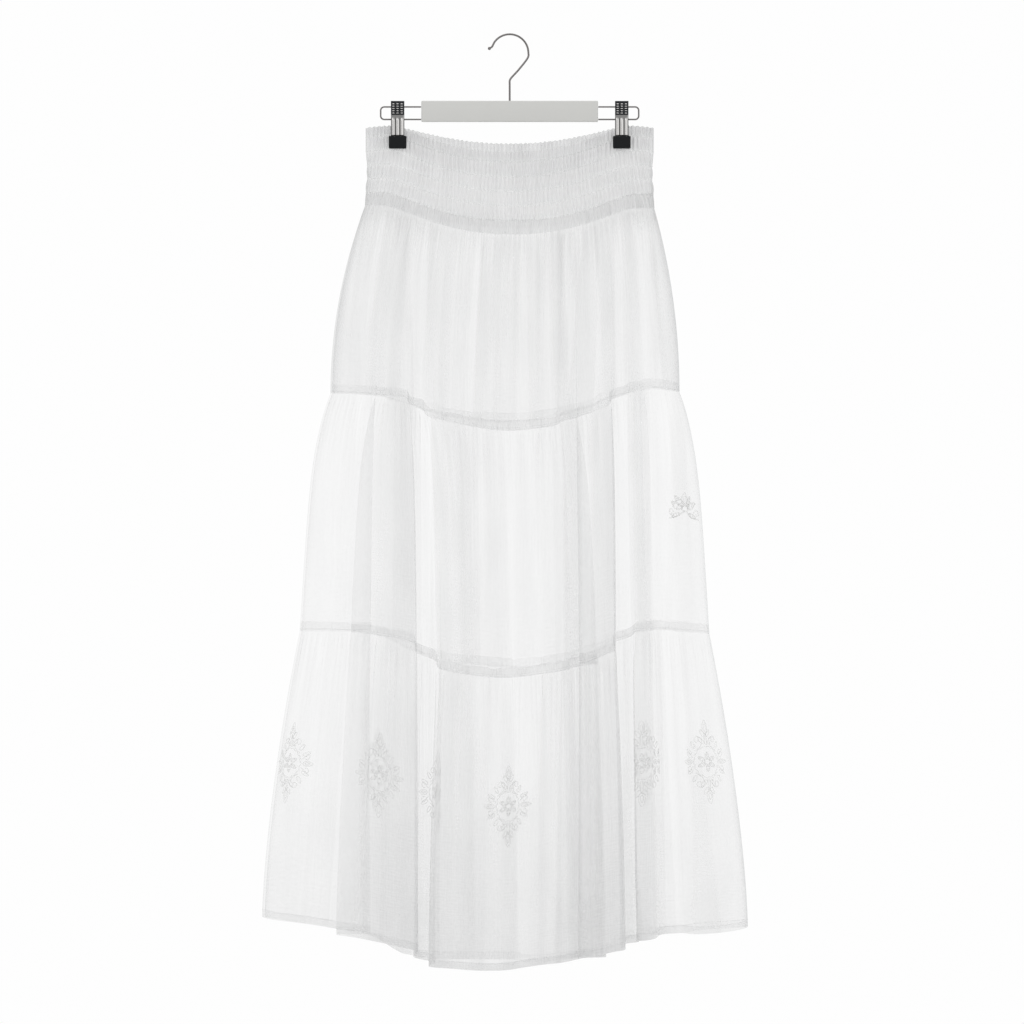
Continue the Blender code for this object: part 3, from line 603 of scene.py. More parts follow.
class Yoke:
    """The front or back half of the shirred yoke."""

    cut, height = YOKE_CUT, YOKE_HEIGHT

    def __init__(self, facing, sizes):
        self.facing, self.sizes = facing, sizes
        self.top = waist_curve(WAIST_HALF_WIDTH, PINCH_DEPTH, TOP_BELLY[facing], YOKE_TOP_LOOP)
        self.parts = (self.top, waist_curve(*YOKE_NECK), waist_curve(*YOKE_FOOT))
        # the top edge, the elastics and the foot, as shares down the yoke
        down = [0.0] + [sizes.frill + row * sizes.row_height for row in range(sizes.rows + 1)]
        self.elastics = np.array(down + [YOKE_HEIGHT]) / YOKE_HEIGHT
        seed = 70 if facing == FRONT else 80
        self.ribs = [Ridges(seed + row, sizes.ribs, sizes.rib_height, 0.001, 1e6, 0.28)
                     for row in range(len(self.elastics) - 1)]

    def blended(self, share, top, neck, foot):
        """What lies between the values at the yoke's top, neck and foot."""
        opened = np.clip((share - PINCH_SHARE) / (NECK_SHARE - PINCH_SHARE), 0.0, 1.0)[..., None]
        below = np.clip((share - NECK_SHARE) / (1 - NECK_SHARE), 0.0, 1.0)[..., None]
        return blend(blend(top, neck, opened), foot, below)

    def gathered(self, cloth):
        """How closely what is sewn inside the yoke is gathered: more at its sides."""
        return (1.35 if self.facing == FRONT else 0.55) * (0.95 + 0.40 * abs(2 * cloth - 1))

    def fullness(self, cloth, share):
        """The cloth is densest in the frill and between the ribs, and open at the elastics."""
        down, closeness, change = zip(*YOKE_DENSITY)
        sideways = 2 * cloth - 1
        full = self.cut[0] / self.top.length * np.interp(share, down, closeness) \
            * (1 + np.interp(share, down, change) * sideways ** 2) \
            * (1.02 + 0.05 * sideways ** 3) \
            * (1 - 0.04 * self.facing * np.clip((0.14 - share) / 0.05, 0.0, 1.0))
        row = np.clip(np.searchsorted(self.elastics, share) - 1, 0, len(self.ribs) - 1)
        for number, ribs in enumerate(self.ribs):
            rib = ribs.read(cloth) / ribs.nominal
            full = np.where(row == number, full * (1 - 0.20 * rib), full)
        for elastic in self.elastics[1:-1]:
            full *= 1 - 0.32 * bell((share - elastic) * self.height, ELASTIC_WIDTH)
        return full

    def relief(self, cloth, share, across):
        """Ribs that the elastics gather, and the puff of cloth between two elastics."""
        raised = np.zeros_like(cloth)
        last = len(self.ribs) - 1
        for row, ribs in enumerate(self.ribs):
            top, foot = self.elastics[row], self.elastics[row + 1]
            down = (share - top) / (foot - top)
            inside = (down > (-1.0 if row == 0 else 0.0)) & (down <= (2.0 if row == last else 1.0))
            down = np.clip(down, 0.0, 1.0)
            bulge = np.sin(np.pi * down)
            if row == 0:
                swell, rib = 0.35 * bulge, 1.25 - 0.65 * ease(down)
            elif row == last:
                swell, rib = 0.25 * bulge, 0.35 + 0.25 * (1 - down)
            else:
                swell, rib = bulge ** 0.7, 0.55 + 0.45 * bulge
            raised = np.where(inside, self.sizes.puff * swell + ribs.read(cloth) * rib, raised)
        under_clip = np.exp(-((abs(across) - CLIP_X) / CLIP_PRESS) ** 6)
        raised *= 1 - 0.72 * under_clip * (1 - ease((share - 0.32) / 0.25))
        return raised * ease(from_side(cloth, self.top.length) / 0.004)

    def surface(self, cloth, share, lift=0.0):
        """The points of the cloth, lifted off it by this much."""
        share = np.broadcast_to(share, cloth.shape)
        point = self.blended(share, *(part.read(cloth) for part in self.parts))
        out = unit(self.blended(share, *(part.outward(cloth) for part in self.parts)))
        across = point[..., 0]
        height = blend(yoke_top_height(across, self.facing), yoke_seam_height(across, self.facing),
                       share)
        frill_wave = 0.0013 + 0.0006 * np.sin(1100.0 * across)
        height = height + frill_wave * (1 - ease(share / 0.06))
        point = point + out * (self.relief(cloth, share, across) + lift)[..., None]
        return np.stack([point[..., 0], self.facing * point[..., 1], height], axis=-1)


# ---- meshes ----

def built(name, bm):
    """The mesh of a bmesh, which is freed."""
    mesh = bpy.data.meshes.new(name)
    bm.to_mesh(mesh)
    bm.free()
    return mesh


def finished(mesh, material, *, slot=None, replaces=()):
    """Links a mesh as a piece of the skirt that rides on its one body."""
    mesh.shade_smooth()
    piece = bpy.data.objects.new(mesh.name, mesh)
    mesh.materials.append(material)
    bpy.context.scene.collection.objects.link(piece)
    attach(piece, "root")
    if replaces:
        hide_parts(*replaces)
    return piece


def cloth_piece(name, panel, grid, material, *, top=0.0, lift=0.0, fullness=None, edge=None,
                **facts):
    """A sheet laid on a panel from this share down to its foot. Its UV map is metres of cloth."""
    bm = bmesh.new()
    bmesh.ops.create_grid(bm, x_segments=grid[0], y_segments=grid[1], size=1.0)
    mesh = built(name, bm)
    places = np.empty(len(mesh.vertices) * 3, dtype=np.float32)
    mesh.vertices.foreach_get("co", places)
    places = places.reshape(-1, 3).astype(float)
    cloth = np.clip((places[:, 0] + 1) / 2, 0.0, 1.0)
    if panel.facing == BACK:
        cloth = 1 - cloth
    down = np.clip((1 - places[:, 1]) / 2, 0.0, 1.0)
    share = blend(top, 1.0, down)
    if edge is not None:
        share = share + edge(cloth) * (1 - down)
    points = panel.surface(cloth, share, lift(cloth, down) if callable(lift) else lift)
    mesh.vertices.foreach_set("co", points.astype(np.float32).ravel())
    closeness = fullness(cloth, down) if fullness else panel.fullness(cloth, share)
    full = mesh.attributes.new("fullness", "FLOAT", "POINT")
    full.data.foreach_set("value", closeness.astype(np.float32))
    corners = np.empty(len(mesh.loops), dtype=np.int32)
    mesh.loops.foreach_get("vertex_index", corners)
    flat = np.stack([cloth * panel.cut[0], -share * panel.cut[1]], axis=1)[corners]
    mesh.uv_layers.new(name="cloth").data.foreach_set("uv", flat.astype(np.float32).ravel())
    mesh.update()
    return finished(mesh, material, **facts)


def threads(name, paths, radius, material, *, sides=1, closed=(), **facts):
    """Round threads or wires along paths, as one mesh."""
    curve = bpy.data.curves.new(name + "_path", "CURVE")
    curve.dimensions = "3D"
    curve.bevel_depth = radius
    curve.bevel_resolution = sides
    curve.use_fill_caps = True
    for number, path in enumerate(paths):
        spline = curve.splines.new("POLY")
        spline.points.add(len(path) - 1)
        spline.points.foreach_set("co", np.hstack([path, np.ones((len(path), 1))]).ravel())
        spline.use_cyclic_u = number in closed
    holder = bpy.data.objects.new(name + "_path", curve)
    bpy.context.scene.collection.objects.link(holder)
    bpy.context.view_layer.update()
    mesh = bpy.data.meshes.new_from_object(holder)
    mesh.name = name
    mesh.materials.clear()
    bpy.data.objects.remove(holder)
    bpy.data.curves.remove(curve)
    return finished(mesh, material, **facts)


def rounded_block(name, node, rounding, material, slot):
    """A block with rounded edges that takes the place of a solid and fills its box."""
    low, high = (Vector(corner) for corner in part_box(node))
    bm = bmesh.new()
    bmesh.ops.create_cube(bm, size=1.0)
    bmesh.ops.scale(bm, vec=high - low, verts=bm.verts[:])
    bmesh.ops.bevel(bm, geom=bm.edges[:], offset=rounding, offset_type="OFFSET", segments=4,
                    profile=0.5, affect="EDGES", material=-1)
    bmesh.ops.translate(bm, vec=(low + high) / 2, verts=bm.verts[:])
    bmesh.ops.recalc_face_normals(bm, faces=bm.faces[:])
    return finished(built(name, bm), material, slot=slot, replaces=(node,))


# ---- finishes ----

def connect(tree, node, inputs):
    """Gives a node's inputs their numbers and colours, or the outputs that feed them."""
    for label, value in inputs.items():
        if isinstance(value, bpy.types.NodeSocket):
            tree.links.new(value, node.inputs[label])
        else:
            node.inputs[label].default_value = value


def new_node(tree, kind, inputs=None, **settings):
    """A shader node with these settings and inputs."""
    node = tree.nodes.new("ShaderNode" + kind)
    for name, value in settings.items():
        setattr(node, name, value)
    connect(tree, node, inputs or {})
    return node


def math_node(tree, operation, *values, clamp=False):
    """The output of a Math node on numbers or other outputs."""
    return new_node(tree, "Math", dict(enumerate(values)), operation=operation,
                    use_clamp=clamp).outputs[0]


def noise(tree, vector, stretch, detail, roughness, dimensions="3D"):
    """Noise from 0 to 1 on a vector stretched by (x, y, z)."""
    mapping = new_node(tree, "Mapping", {"Vector": vector, "Scale": stretch})
    return new_node(tree, "TexNoise", {
        "Vector": mapping.outputs["Vector"], "Scale": 1.0, "Detail": detail,
        "Roughness": roughness}, noise_dimensions=dimensions).outputs["Fac"]


def mixed(tree, factor, low, high):
    """The colour between two colours."""
    return new_node(tree, "Mix", {"Factor": factor, "A": low, "B": high},
                    data_type="RGBA").outputs["Result"]


def new_group(name, inputs, outputs):
    """An empty node group with these sockets; an input's kind follows from its default."""
    group = bpy.data.node_groups.new(name, "ShaderNodeTree")
    for label, default in inputs.items():
        kind = {type(None): "Vector", float: "Float", tuple: "Color"}[type(default)]
        socket = group.interface.new_socket(label, in_out="INPUT",
                                            socket_type="NodeSocket" + kind)
        if default is not None:
            socket.default_value = default
    for label, kind in outputs.items():
        group.interface.new_socket(label, in_out="OUTPUT", socket_type="NodeSocket" + kind)
    return group, group.nodes.new("NodeGroupInput").outputs, group.nodes.new("NodeGroupOutput")


def gauze_group():
    """Plain-woven crinkled cotton: its tint, how much it covers and the height of its threads."""
    if "crinkled gauze" in bpy.data.node_groups:
        return bpy.data.node_groups["crinkled gauze"]
    tree, given, result = new_group("crinkled gauze", {
        "Cloth": None, "Fullness": 1.0, "Cover": 0.2, "Thread": 0.0008, "Crinkle": 1.0,
        "Light": (0.9, 0.9, 0.9, 1.0), "Shade": (0.8, 0.8, 0.8, 1.0)},
        {"Tint": "Color", "Cover": "Float", "Height": "Float"})

    def calc(operation, *values, clamp=False):
        return math_node(tree, operation, *values, clamp=clamp)

    def uneven(value, amount):
        return calc("MULTIPLY", calc("SUBTRACT", value, 0.5), amount)

    cloth = given["Cloth"]
    split = new_node(tree, "SeparateXYZ", {0: cloth}).outputs
    turns = calc("DIVIDE", math.pi, given["Thread"])
    warp, weft = (calc("ABSOLUTE", calc("SINE", calc("MULTIPLY", split[axis], turns)))
                  for axis in "XY")
    weave = calc("MAXIMUM", warp, weft)
    streaks = noise(tree, cloth, (330.0, 20.0, 1.0), 2.0, 0.6, "2D")
    crinkles = noise(tree, cloth, (70.0, 420.0, 1.0), 1.0, 0.55, "2D")
    clouds = noise(tree, cloth, (34.0, 14.0, 1.0), 0.0, 0.5, "2D")
    low = calc("MULTIPLY_ADD", split["Y"], -5.5, -0.75, clamp=True)
    crinkled = calc("MULTIPLY", 0.25, calc("MULTIPLY", given["Crinkle"], calc("ADD", 0.35, low)))
    patchy = calc("ADD", calc("ADD", 1.0, uneven(streaks, 0.40)),
                  calc("ADD", uneven(crinkles, crinkled), uneven(clouds, 0.28)))
    woven = calc("MULTIPLY_ADD", weave, 0.30, 0.76)
    cover = calc("MULTIPLY", calc("MULTIPLY", given["Cover"], given["Fullness"]),
                 calc("MULTIPLY", patchy, woven))
    height = calc("ADD", calc("MULTIPLY", crinkles, crinkled),
                  calc("ADD", calc("MULTIPLY", weave, 0.05), calc("MULTIPLY", streaks, 0.55)))
    lit = calc("MULTIPLY_ADD", streaks, 0.9, 0.05, clamp=True)
    connect(tree, result, {"Tint": mixed(tree, lit, given["Shade"], given["Light"]),
                           "Cover": calc("MINIMUM", cover, 0.97, clamp=True),
                           "Height": height})
    return tree


def grain_group():
    """Fine grain and soft blotches for a hard finish, from object coordinates."""
    if "fine grain" in bpy.data.node_groups:
        return bpy.data.node_groups["fine grain"]
    tree, given, result = new_group("fine grain", {
        "Place": None, "Grain": 900.0, "Low": (0.5, 0.5, 0.5, 1.0), "High": (0.6, 0.6, 0.6, 1.0),
        "Roughness": 0.4, "Variation": 0.1},
        {"Tint": "Color", "Roughness": "Float", "Height": "Float"})
    scaled = new_node(tree, "VectorMath", operation="SCALE")
    connect(tree, scaled, {0: given["Place"], "Scale": given["Grain"]})
    fine = noise(tree, scaled.outputs[0], (1.0, 1.0, 1.0), 3.0, 0.6)
    blotch = noise(tree, given["Place"], (38.0, 38.0, 38.0), 2.0, 0.5)
    both = math_node(tree, "MULTIPLY_ADD", fine, 0.5, math_node(tree, "MULTIPLY", blotch, 0.5))
    varied = math_node(tree, "MULTIPLY", math_node(tree, "SUBTRACT", both, 0.5),
                       given["Variation"])
    connect(tree, result, {"Tint": mixed(tree, both, given["Low"], given["High"]),
                           "Roughness": math_node(tree, "ADD", given["Roughness"], varied),
                           "Height": fine})
    return tree


def new_finish(name, group, given, bump, depth, shader_inputs):
    """A material whose tint and relief come from a group; given may hold makers of nodes."""
    material = bpy.data.materials.new(name)
    material.use_nodes = True
    tree = material.node_tree
    shader = tree.nodes["Principled BSDF"]
    placed = new_node(tree, "Group", node_tree=group)
    connect(tree, placed, {label: value(tree) if callable(value) else value
                           for label, value in given.items()})
    made_bump = new_node(tree, "Bump", {"Strength": bump, "Distance": depth,
                                        "Height": placed.outputs["Height"]})
    connect(tree, shader, {"Base Color": placed.outputs["Tint"],
                           "Normal": made_bump.outputs["Normal"], **shader_inputs})
    return material, placed.outputs, shader


def attribute(name):
    """Reads this attribute of a mesh in a material's tree."""
    return lambda tree: new_node(tree, "Attribute", attribute_name=name).outputs["Fac"]


def shaded(colour, amount):
    """The colour times an amount, with alpha."""
    return (*(min(1.0, channel * amount) for channel in colour), 1.0)


def gauze(name, cover, crinkle=1.0, white=0.89, shade=0.90, bump=0.5):
    """Sheer white cotton gauze; cover is how much one layer of it hides."""
    if name in bpy.data.materials:
        return bpy.data.materials[name]
    cloth = bpy.context.scene.skirt_colours.cloth
    material, woven, shader = new_finish(name, gauze_group(), {
        "Cloth": lambda tree: new_node(tree, "UVMap", uv_map="cloth").outputs["UV"],
        "Fullness": attribute("fullness"), "Cover": cover, "Crinkle": crinkle,
        "Light": shaded(cloth, white), "Shade": shaded(cloth, white * shade)}, bump, 0.0006, {
        "Roughness": 0.88, "Specular IOR Level": 0.2, "Sheen Weight": 0.12,
        "Sheen Roughness": 0.5})
    connect(material.node_tree, shader, {"Alpha": woven["Cover"]})
    return material


def hard_finish(name, colour, spread, roughness, grain, bump, metallic=0.0, specular=0.5,
                variation=0.12, alpha=1.0):
    """A hard finish with fine grain: paint, chrome, steel, rubber or thread."""
    if name in bpy.data.materials:
        return bpy.data.materials[name]
    material, worn, shader = new_finish(name, grain_group(), {
        "Place": lambda tree: new_node(tree, "TexCoord").outputs["Object"], "Grain": grain,
        "Low": shaded(colour, 1 - spread), "High": shaded(colour, 1 + spread),
        "Roughness": roughness, "Variation": variation}, bump, 0.0002, {
        "Metallic": metallic, "Specular IOR Level": specular, "Alpha": alpha})
    connect(material.node_tree, shader, {"Roughness": worn["Roughness"]})
    return material


def thread_material():
    return hard_finish("white cotton thread", bpy.context.scene.skirt_colours.thread, 0.06, 0.75,
                       2600.0, 0.4)


def embroidery_material():
    return hard_finish("embroidery floss", (0.90, 0.90, 0.895), 0.05, 0.7, 2600.0, 0.4,
                       alpha=0.27)


def wire_chrome():
    # painted reflection: the wires' chrome gets a dark colour, far darker than the plates' chrome,
    # standing in for the darker surroundings it reflects
    return hard_finish("chromed wire", bpy.context.scene.skirt_colours.wire, 0.10, 0.20, 1500.0,
                       0.03, metallic=1.0, variation=0.08)


def plate_chrome():
    """Bright chrome with a painted dark reflection in its hollows, after a mesh attribute of the
    plates.
    """
    name = "polished chrome"
    if name in bpy.data.materials:
        return bpy.data.materials[name]
    material = hard_finish(name, bpy.context.scene.skirt_colours.chrome, 0.05, 0.16, 1500.0, 0.03,
                           metallic=1.0, variation=0.06)
    tree = material.node_tree
    base = tree.nodes["Principled BSDF"].inputs["Base Color"]
    # painted reflection: the dark colour that the chrome is mixed towards where the attribute is
    # high
    dark = (0.045, 0.044, 0.042, 1.0)
    tree.links.new(mixed(tree, attribute("hollow")(tree), base.links[0].from_socket, dark), base)
    return material


# ---- sizes and colours ----

def size(name, description, default):
    """A length property."""
    return FloatProperty(name=name, description=description, default=default, min=0.0,
                         precision=5, subtype="DISTANCE", unit="LENGTH")


def colour(name, description, default):
    """A colour property."""
    return FloatVectorProperty(name=name, description=description, default=default, min=0.0,
                               max=1.0, size=3, subtype="COLOR")


class SkirtYokeSizes(bpy.types.PropertyGroup):
    """Sizes of the shirred yoke."""

    ribs: IntProperty(name="Ribs", description="Ribs across the front or the back", default=74,
                      min=10, max=140)
    rows: IntProperty(name="Shirred Rows", description="Puffed rows between two elastics",
                      default=4, min=1, max=8)
    rib_height: size("Rib Height", "How far a rib stands out of the yoke", 0.0012)
    puff: size("Puff", "How far the cloth puffs out between two elastics", 0.0009)
    frill: size("Frill", "Height of the small frill above the first elastic", 0.0100)
    row_height: size("Row Height", "Height of one shirred row", 0.0163)
    elastic: size("Elastic", "Radius of an elastic thread", 0.00034)


class SkirtTierSizes(bpy.types.PropertyGroup):
    """Sizes of the gathered tiers and what is sewn to them."""

    gather_height: size("Gather Height", "How far a gather stands out under a seam", 0.0009)
    soft_fold_height: size("Soft Fold Height", "How far the long soft folds stand out", 0.0024)
    allowance: size("Seam Allowance", "Height of the doubled cloth above a seam", 0.0110)
    waist_allowance: size("Waist Allowance", "Height of the doubled cloth under the yoke", 0.0155)
    hem: size("Hem", "Height of the double hem", 0.0090)
    stitch: size("Stitch", "Length of one stitch", 0.0030)
    stitch_thread: size("Stitch Thread", "Radius of the sewing thread", 0.00016)
    embroidery_thread: size("Embroidery Thread", "Radius of an embroidered line", 0.00064)


class SkirtHangerSizes(bpy.types.PropertyGroup):
    """Sizes of the hanger."""

    bar_rounding: size("Bar Rounding", "Rounding of the bar's edges", 0.0014)
    hook_wire: size("Hook Wire", "Radius of the hook's wire", 0.00115)
    hook_radius: size("Hook Radius", "Radius of the hook's bow to the middle of the wire", 0.0219)
    loop_wire: size("Loop Wire", "Radius of the loops' wire", 0.00095)
    knurl: size("Knurl", "Radius of a bump on a thumb plate", 0.0011)
    flute: size("Flute", "Depth of the flutes in a gripping plate", 0.0006)
    plate_half_width: size("Plate Half Width", "Half the width of a clip's plates", 0.0078)
    foot_rounding: size("Foot Rounding", "Rounding of the rubber feet", 0.0013)


class SkirtColours(bpy.types.PropertyGroup):
    """Colours and covers of the finishes."""

    cloth: colour("Cloth", "Colour of the cotton gauze", (0.88, 0.882, 0.884))
    thread: colour("Thread", "Colour of the sewing thread", (0.84, 0.842, 0.844))
    bar: colour("Bar", "Colour of the painted bar", (0.62, 0.62, 0.60))
    chrome: colour("Chrome", "Colour of the chromed plates", (0.66, 0.65, 0.64))
    # painted reflection: the wires' chrome colour is darkened to stand in for the darker
    # surroundings it reflects
    wire: colour("Wire", "Colour of the chromed wires", (0.20, 0.19, 0.185))
    steel: colour("Spring Steel", "Colour of the coil springs", (0.36, 0.36, 0.37))
    rubber: colour("Rubber", "Colour of the rubber feet", (0.010, 0.011, 0.012))
    tier_cover: FloatProperty(name="Tier Cover", description="How much one layer of a tier hides",
                              default=0.125, min=0.02, max=1.0, subtype="FACTOR")
    yoke_cover: FloatProperty(name="Yoke Cover", description="How much one layer of the yoke hides",
                              default=0.34, min=0.02, max=1.0, subtype="FACTOR")


# ---- operators ----


class SKIRT_OT_yoke(bpy.types.Operator):
    """Makes the front and back of the shirred yoke"""

    bl_idname = "skirt.yoke"
    bl_label = "Shirred Yoke"

    def execute(self, context):
        cover = context.scene.skirt_colours.yoke_cover
        material = gauze("shirred gauze", cover, 0.5, 0.93, 0.86, 0.6)
        for side, facing in SIDES:
            piece = cloth_piece(f"yoke_{side}_cloth", Yoke(facing, context.scene.skirt_yoke),
                                YOKE_GRID, material, slot="shirred_gauze",
                                replaces=(f"yoke_{side}",))
        return {"FINISHED"}


class SKIRT_OT_tier(bpy.types.Operator):
    """Makes the front and back panel of one gathered tier"""

    bl_idname = "skirt.tier"
    bl_label = "Gathered Tier"

    number: IntProperty(name="Tier", description="1 is under the yoke, 3 is at the hem", default=1,
                        min=1, max=3)

    def execute(self, context):
        material = gauze("crinkled gauze cloth", context.scene.skirt_colours.tier_cover)
        for side, facing in SIDES:
            panel = Tier(self.number, facing, context.scene.skirt_tiers)
            node = f"tier_{self.number}_{side}"
            piece = cloth_piece(f"{node}_cloth", panel, panel.making.grid, material, slot="gauze",
                                replaces=(node,))
        return {"FINISHED"}

    def sewn_on(self, side):
        """Names of the pieces that go with this tier."""
        if self.number < 3:
            return (f"seam_{self.number}_allowance_{side}",)
        return (f"hem_{side}", f"stitches_{side}")


class SKIRT_OT_allowances(bpy.types.Operator):
    """Makes the doubled cloth of the seam allowances inside the yoke and the tiers"""

    bl_idname = "skirt.allowances"
    bl_label = "Seam Allowances"

    def execute(self, context):
        tiers = context.scene.skirt_tiers
        covers = {"front": (0.28, 140), "back": (0.14, 150)}
        for side, facing in SIDES:
            cover, seed = covers[side]
            tucked = gauze(f"tucked allowance {side}", cover, 0.4, 0.92, 0.86, 0.7)
            yoke = Yoke(facing, context.scene.skirt_yoke)
            self.strip(f"waist_allowance_{side}", yoke, tiers.waist_allowance, tucked, seed, 26)
            for number in (1, 2):
                self.strip(f"seam_{number}_allowance_{side}", Tier(number, facing, tiers),
                           tiers.allowance, tucked, seed + number, 60 + 20 * number)
        return {"FINISHED"}

    def strip(self, name, panel, height, material, seed, tucks):
        """A strip inside a panel, above its bottom seam, with small uneven tucks."""
        inside, tuck_height, overlap, uneven_top = 0.0011, 0.0005, 0.0035, 0.11
        folded = Ridges(seed, tucks, tuck_height, 0.001, 1e6, 0.7)
        draw = np.random.default_rng(seed + 7)
        steps = draw.uniform(-1, 1, tucks // 2)
        starts = np.sort(draw.uniform(0, 1, tucks // 2))
        ends = np.repeat(np.append(starts[1:], 1.0), 2) - np.tile((overlap, 0.0), tucks // 2)

        def lift(cloth, down):
            return folded.read(cloth) * ease(down / 0.3 + 0.4) - inside

        def closeness(cloth, down):
            pressed = np.maximum(0.0, folded.read(cloth) / folded.nominal - 0.62)
            return panel.gathered(cloth) * (1 + 0.9 * pressed * (0.4 + 0.6 * down))

        def edge(cloth):
            return uneven_top * height / panel.height * np.interp(cloth, ends, np.repeat(steps, 2))

        cloth_piece(name, panel, (420, 8), material, top=1 - height / panel.height, lift=lift,
                    fullness=closeness, edge=edge, slot="gauze")


class SKIRT_OT_hem(bpy.types.Operator):
    """Makes the narrow double hem"""

    bl_idname = "skirt.hem"
    bl_label = "Hem"

    def execute(self, context):
        tiers = context.scene.skirt_tiers
        for (side, facing), cover in zip(SIDES, (0.30, 0.15)):
            panel = Tier(3, facing, tiers)
            cloth_piece(f"hem_{side}", panel, (600, 5),
                        gauze(f"folded hem {side}", cover, 0.6, 0.92, 0.88, 0.6),
                        top=1 - tiers.hem / panel.height, lift=-0.0007, slot="gauze",
                        fullness=lambda cloth, down: panel.gathered(cloth))
        return {"FINISHED"}


class SKIRT_OT_stitching(bpy.types.Operator):
    """Makes the rows of stitches along the seams and the hem, and the yoke's elastic threads"""

    bl_idname = "skirt.stitching"
    bl_label = "Stitching and Elastic"

    def execute(self, context):
        tiers, yokes = context.scene.skirt_tiers, context.scene.skirt_yoke
        elastic = hard_finish("covered elastic", (0.97, 0.97, 0.965), 0.02, 0.7, 2600.0, 0.3,
                              alpha=0.16)
        cloth = np.linspace(0.003, 0.997, 380)
        for side, facing in SIDES:
            yoke = Yoke(facing, yokes)
            paths = [yoke.surface(cloth, share, 0.0006) for share in yoke.elastics[1:-1]]
            threads(f"elastics_{side}", paths, yokes.elastic, elastic, slot="shirred_gauze")
            rows = []
            for number, above_foot in ((1, SEAM_STITCH), (2, SEAM_STITCH), (3, 0.92 * tiers.hem)):
                panel = Tier(number, facing, tiers)
                rows += self.stitches(panel, 1 - above_foot / panel.height, tiers.stitch)
            threads(f"stitches_{side}", rows, tiers.stitch_thread, thread_material(), sides=0,
                    slot="gauze")
        return {"FINISHED"}

    def stitches(self, panel, share, pitch):
        """Short bent threads in a row along a panel."""
        count = int(panel.length_at(share) / pitch)
        starts = (np.arange(count) + 0.15) / count
        cloth = (starts[:, None] + np.linspace(0.0, 0.7 / count, len(STITCH_BEND))).ravel()
        points = panel.surface(cloth, share, np.tile(STITCH_BEND, count))
        return list(points.reshape(count, -1, 3))


def petal(x, y, angle, length, width):
    """Closed outline of a pointed petal that starts at (x, y) and points along an angle."""
    turn = np.linspace(0.0, 2 * np.pi, PETAL_POINTS, endpoint=False)
    along = length * (0.5 - 0.5 * np.cos(turn))
    side = width / 2 * np.sin(turn) * (0.75 + 0.25 * np.cos(turn))
    c, s = math.cos(math.radians(angle)), math.sin(math.radians(angle))
    return np.stack([x + along * c - side * s, y + along * s + side * c], axis=1)


def petals(*rows):
    """Petals, each given by its x, y, angle in degrees, length and width."""
    return [petal(*row) for row in rows]


def scroll(x, y, radius, start, turns, hand):
    """A spiral that winds in towards (x, y) from this angle."""
    share = np.linspace(0.0, 1.0, SCROLL_POINTS)
    angle = math.radians(start) + hand * 2 * np.pi * turns * share
    reach = radius * (1 - 0.82 * share)
    return np.stack([x + reach * np.cos(angle), y + reach * np.sin(angle)], axis=1)


def ring(width, height, lobes=1, wave=0.0, points=72):
    """A closed oval with small lobes."""
    turn = np.linspace(0.0, 2 * np.pi, points, endpoint=False)
    reach = 1 + wave * np.cos(lobes * turn)
    return np.stack([width * reach * np.cos(turn), height * reach * np.sin(turn)], axis=1)


def filled(outline, lines):
    """Satin stitches across a closed outline of an even number of points."""
    half = len(outline) // 2
    left, right = outline[1:half], outline[:half:-1]
    picks = np.linspace(0, len(left) - 1, lines).round().astype(int)
    return [np.stack([left[i], right[min(i, len(right) - 1)]]) for i in picks]


def mirrored(shapes, axes=(-1.0, 1.0)):
    """The shapes and their mirror images across the upright middle line."""
    return list(shapes) + [shape * axes for shape in shapes]


def turned_over(shapes):
    """The shapes and their mirror images across the level middle line."""
    return mirrored(shapes, (1.0, -1.0))


def medallion():
    """Closed and open lines of one floral medallion, in millimetres round its middle."""
    closed = [ring(3.0, 3.0, points=20)]
    closed += [petal(3.6 * math.cos(math.radians(angle)), 3.6 * math.sin(math.radians(angle)),
                     angle, 7.4, 5.6) for angle in range(30, 390, 60)]
    closed.append(ring(14.2, 17.4, 14, 0.035))
    closed += turned_over(mirrored(petals(
        (2.4, 20.5, 52, 9.5, 4.6), (1.6, 29.0, 62, 8.5, 4.4), (16.4, 9.4, 30, 8.8, 4.8),
        (12.6, 15.6, 62, 8.0, 4.2))))
    closed += mirrored(petals((16.8, 0.0, 0, 11.6, 7.2), (19.0, 0.0, 0, 5.8, 3.0)))
    closed += turned_over(petals((0.0, 32.5, 90, 14.8, 8.0), (0.0, 35.0, 90, 8.0, 3.6)))
    opened = turned_over(mirrored([
        scroll(9.4, 24.6, 5.4, 215, 1.15, -1), scroll(20.6, 9.0, 4.2, 250, 0.9, 1),
        np.array(((0.8, 19.0), (1.4, 24.0), (0.9, 30.0), (0.2, 33.0))),
        np.array(((4.9, 21.6), (6.0, 17.8), (9.0, 15.0), (12.8, 12.2))),
        np.array(((15.0, 4.8), (17.2, 6.4), (18.6, 8.8))),
    ]))
    return closed, opened


def sprig():
    """Closed and open lines of the small bow-shaped sprig, in millimetres round its middle."""
    closed = [ring(2.6, 2.4, points=18)]
    closed += mirrored(petals((2.4, 0.6, 24, 11.5, 6.8), (1.8, 2.2, 62, 10.0, 5.2),
                              (4.0, -4.6, -22, 9.5, 4.2)))
    closed += petals((0.0, 3.0, 90, 11.0, 6.4), (0.0, 5.0, 90, 6.0, 3.0))
    opened = mirrored([scroll(14.4, -4.4, 4.2, 170, 1.0, -1),
                       np.array(((0.6, -2.0), (4.6, -6.2), (9.4, -8.4), (17.0, -9.4)))])
    return closed, opened


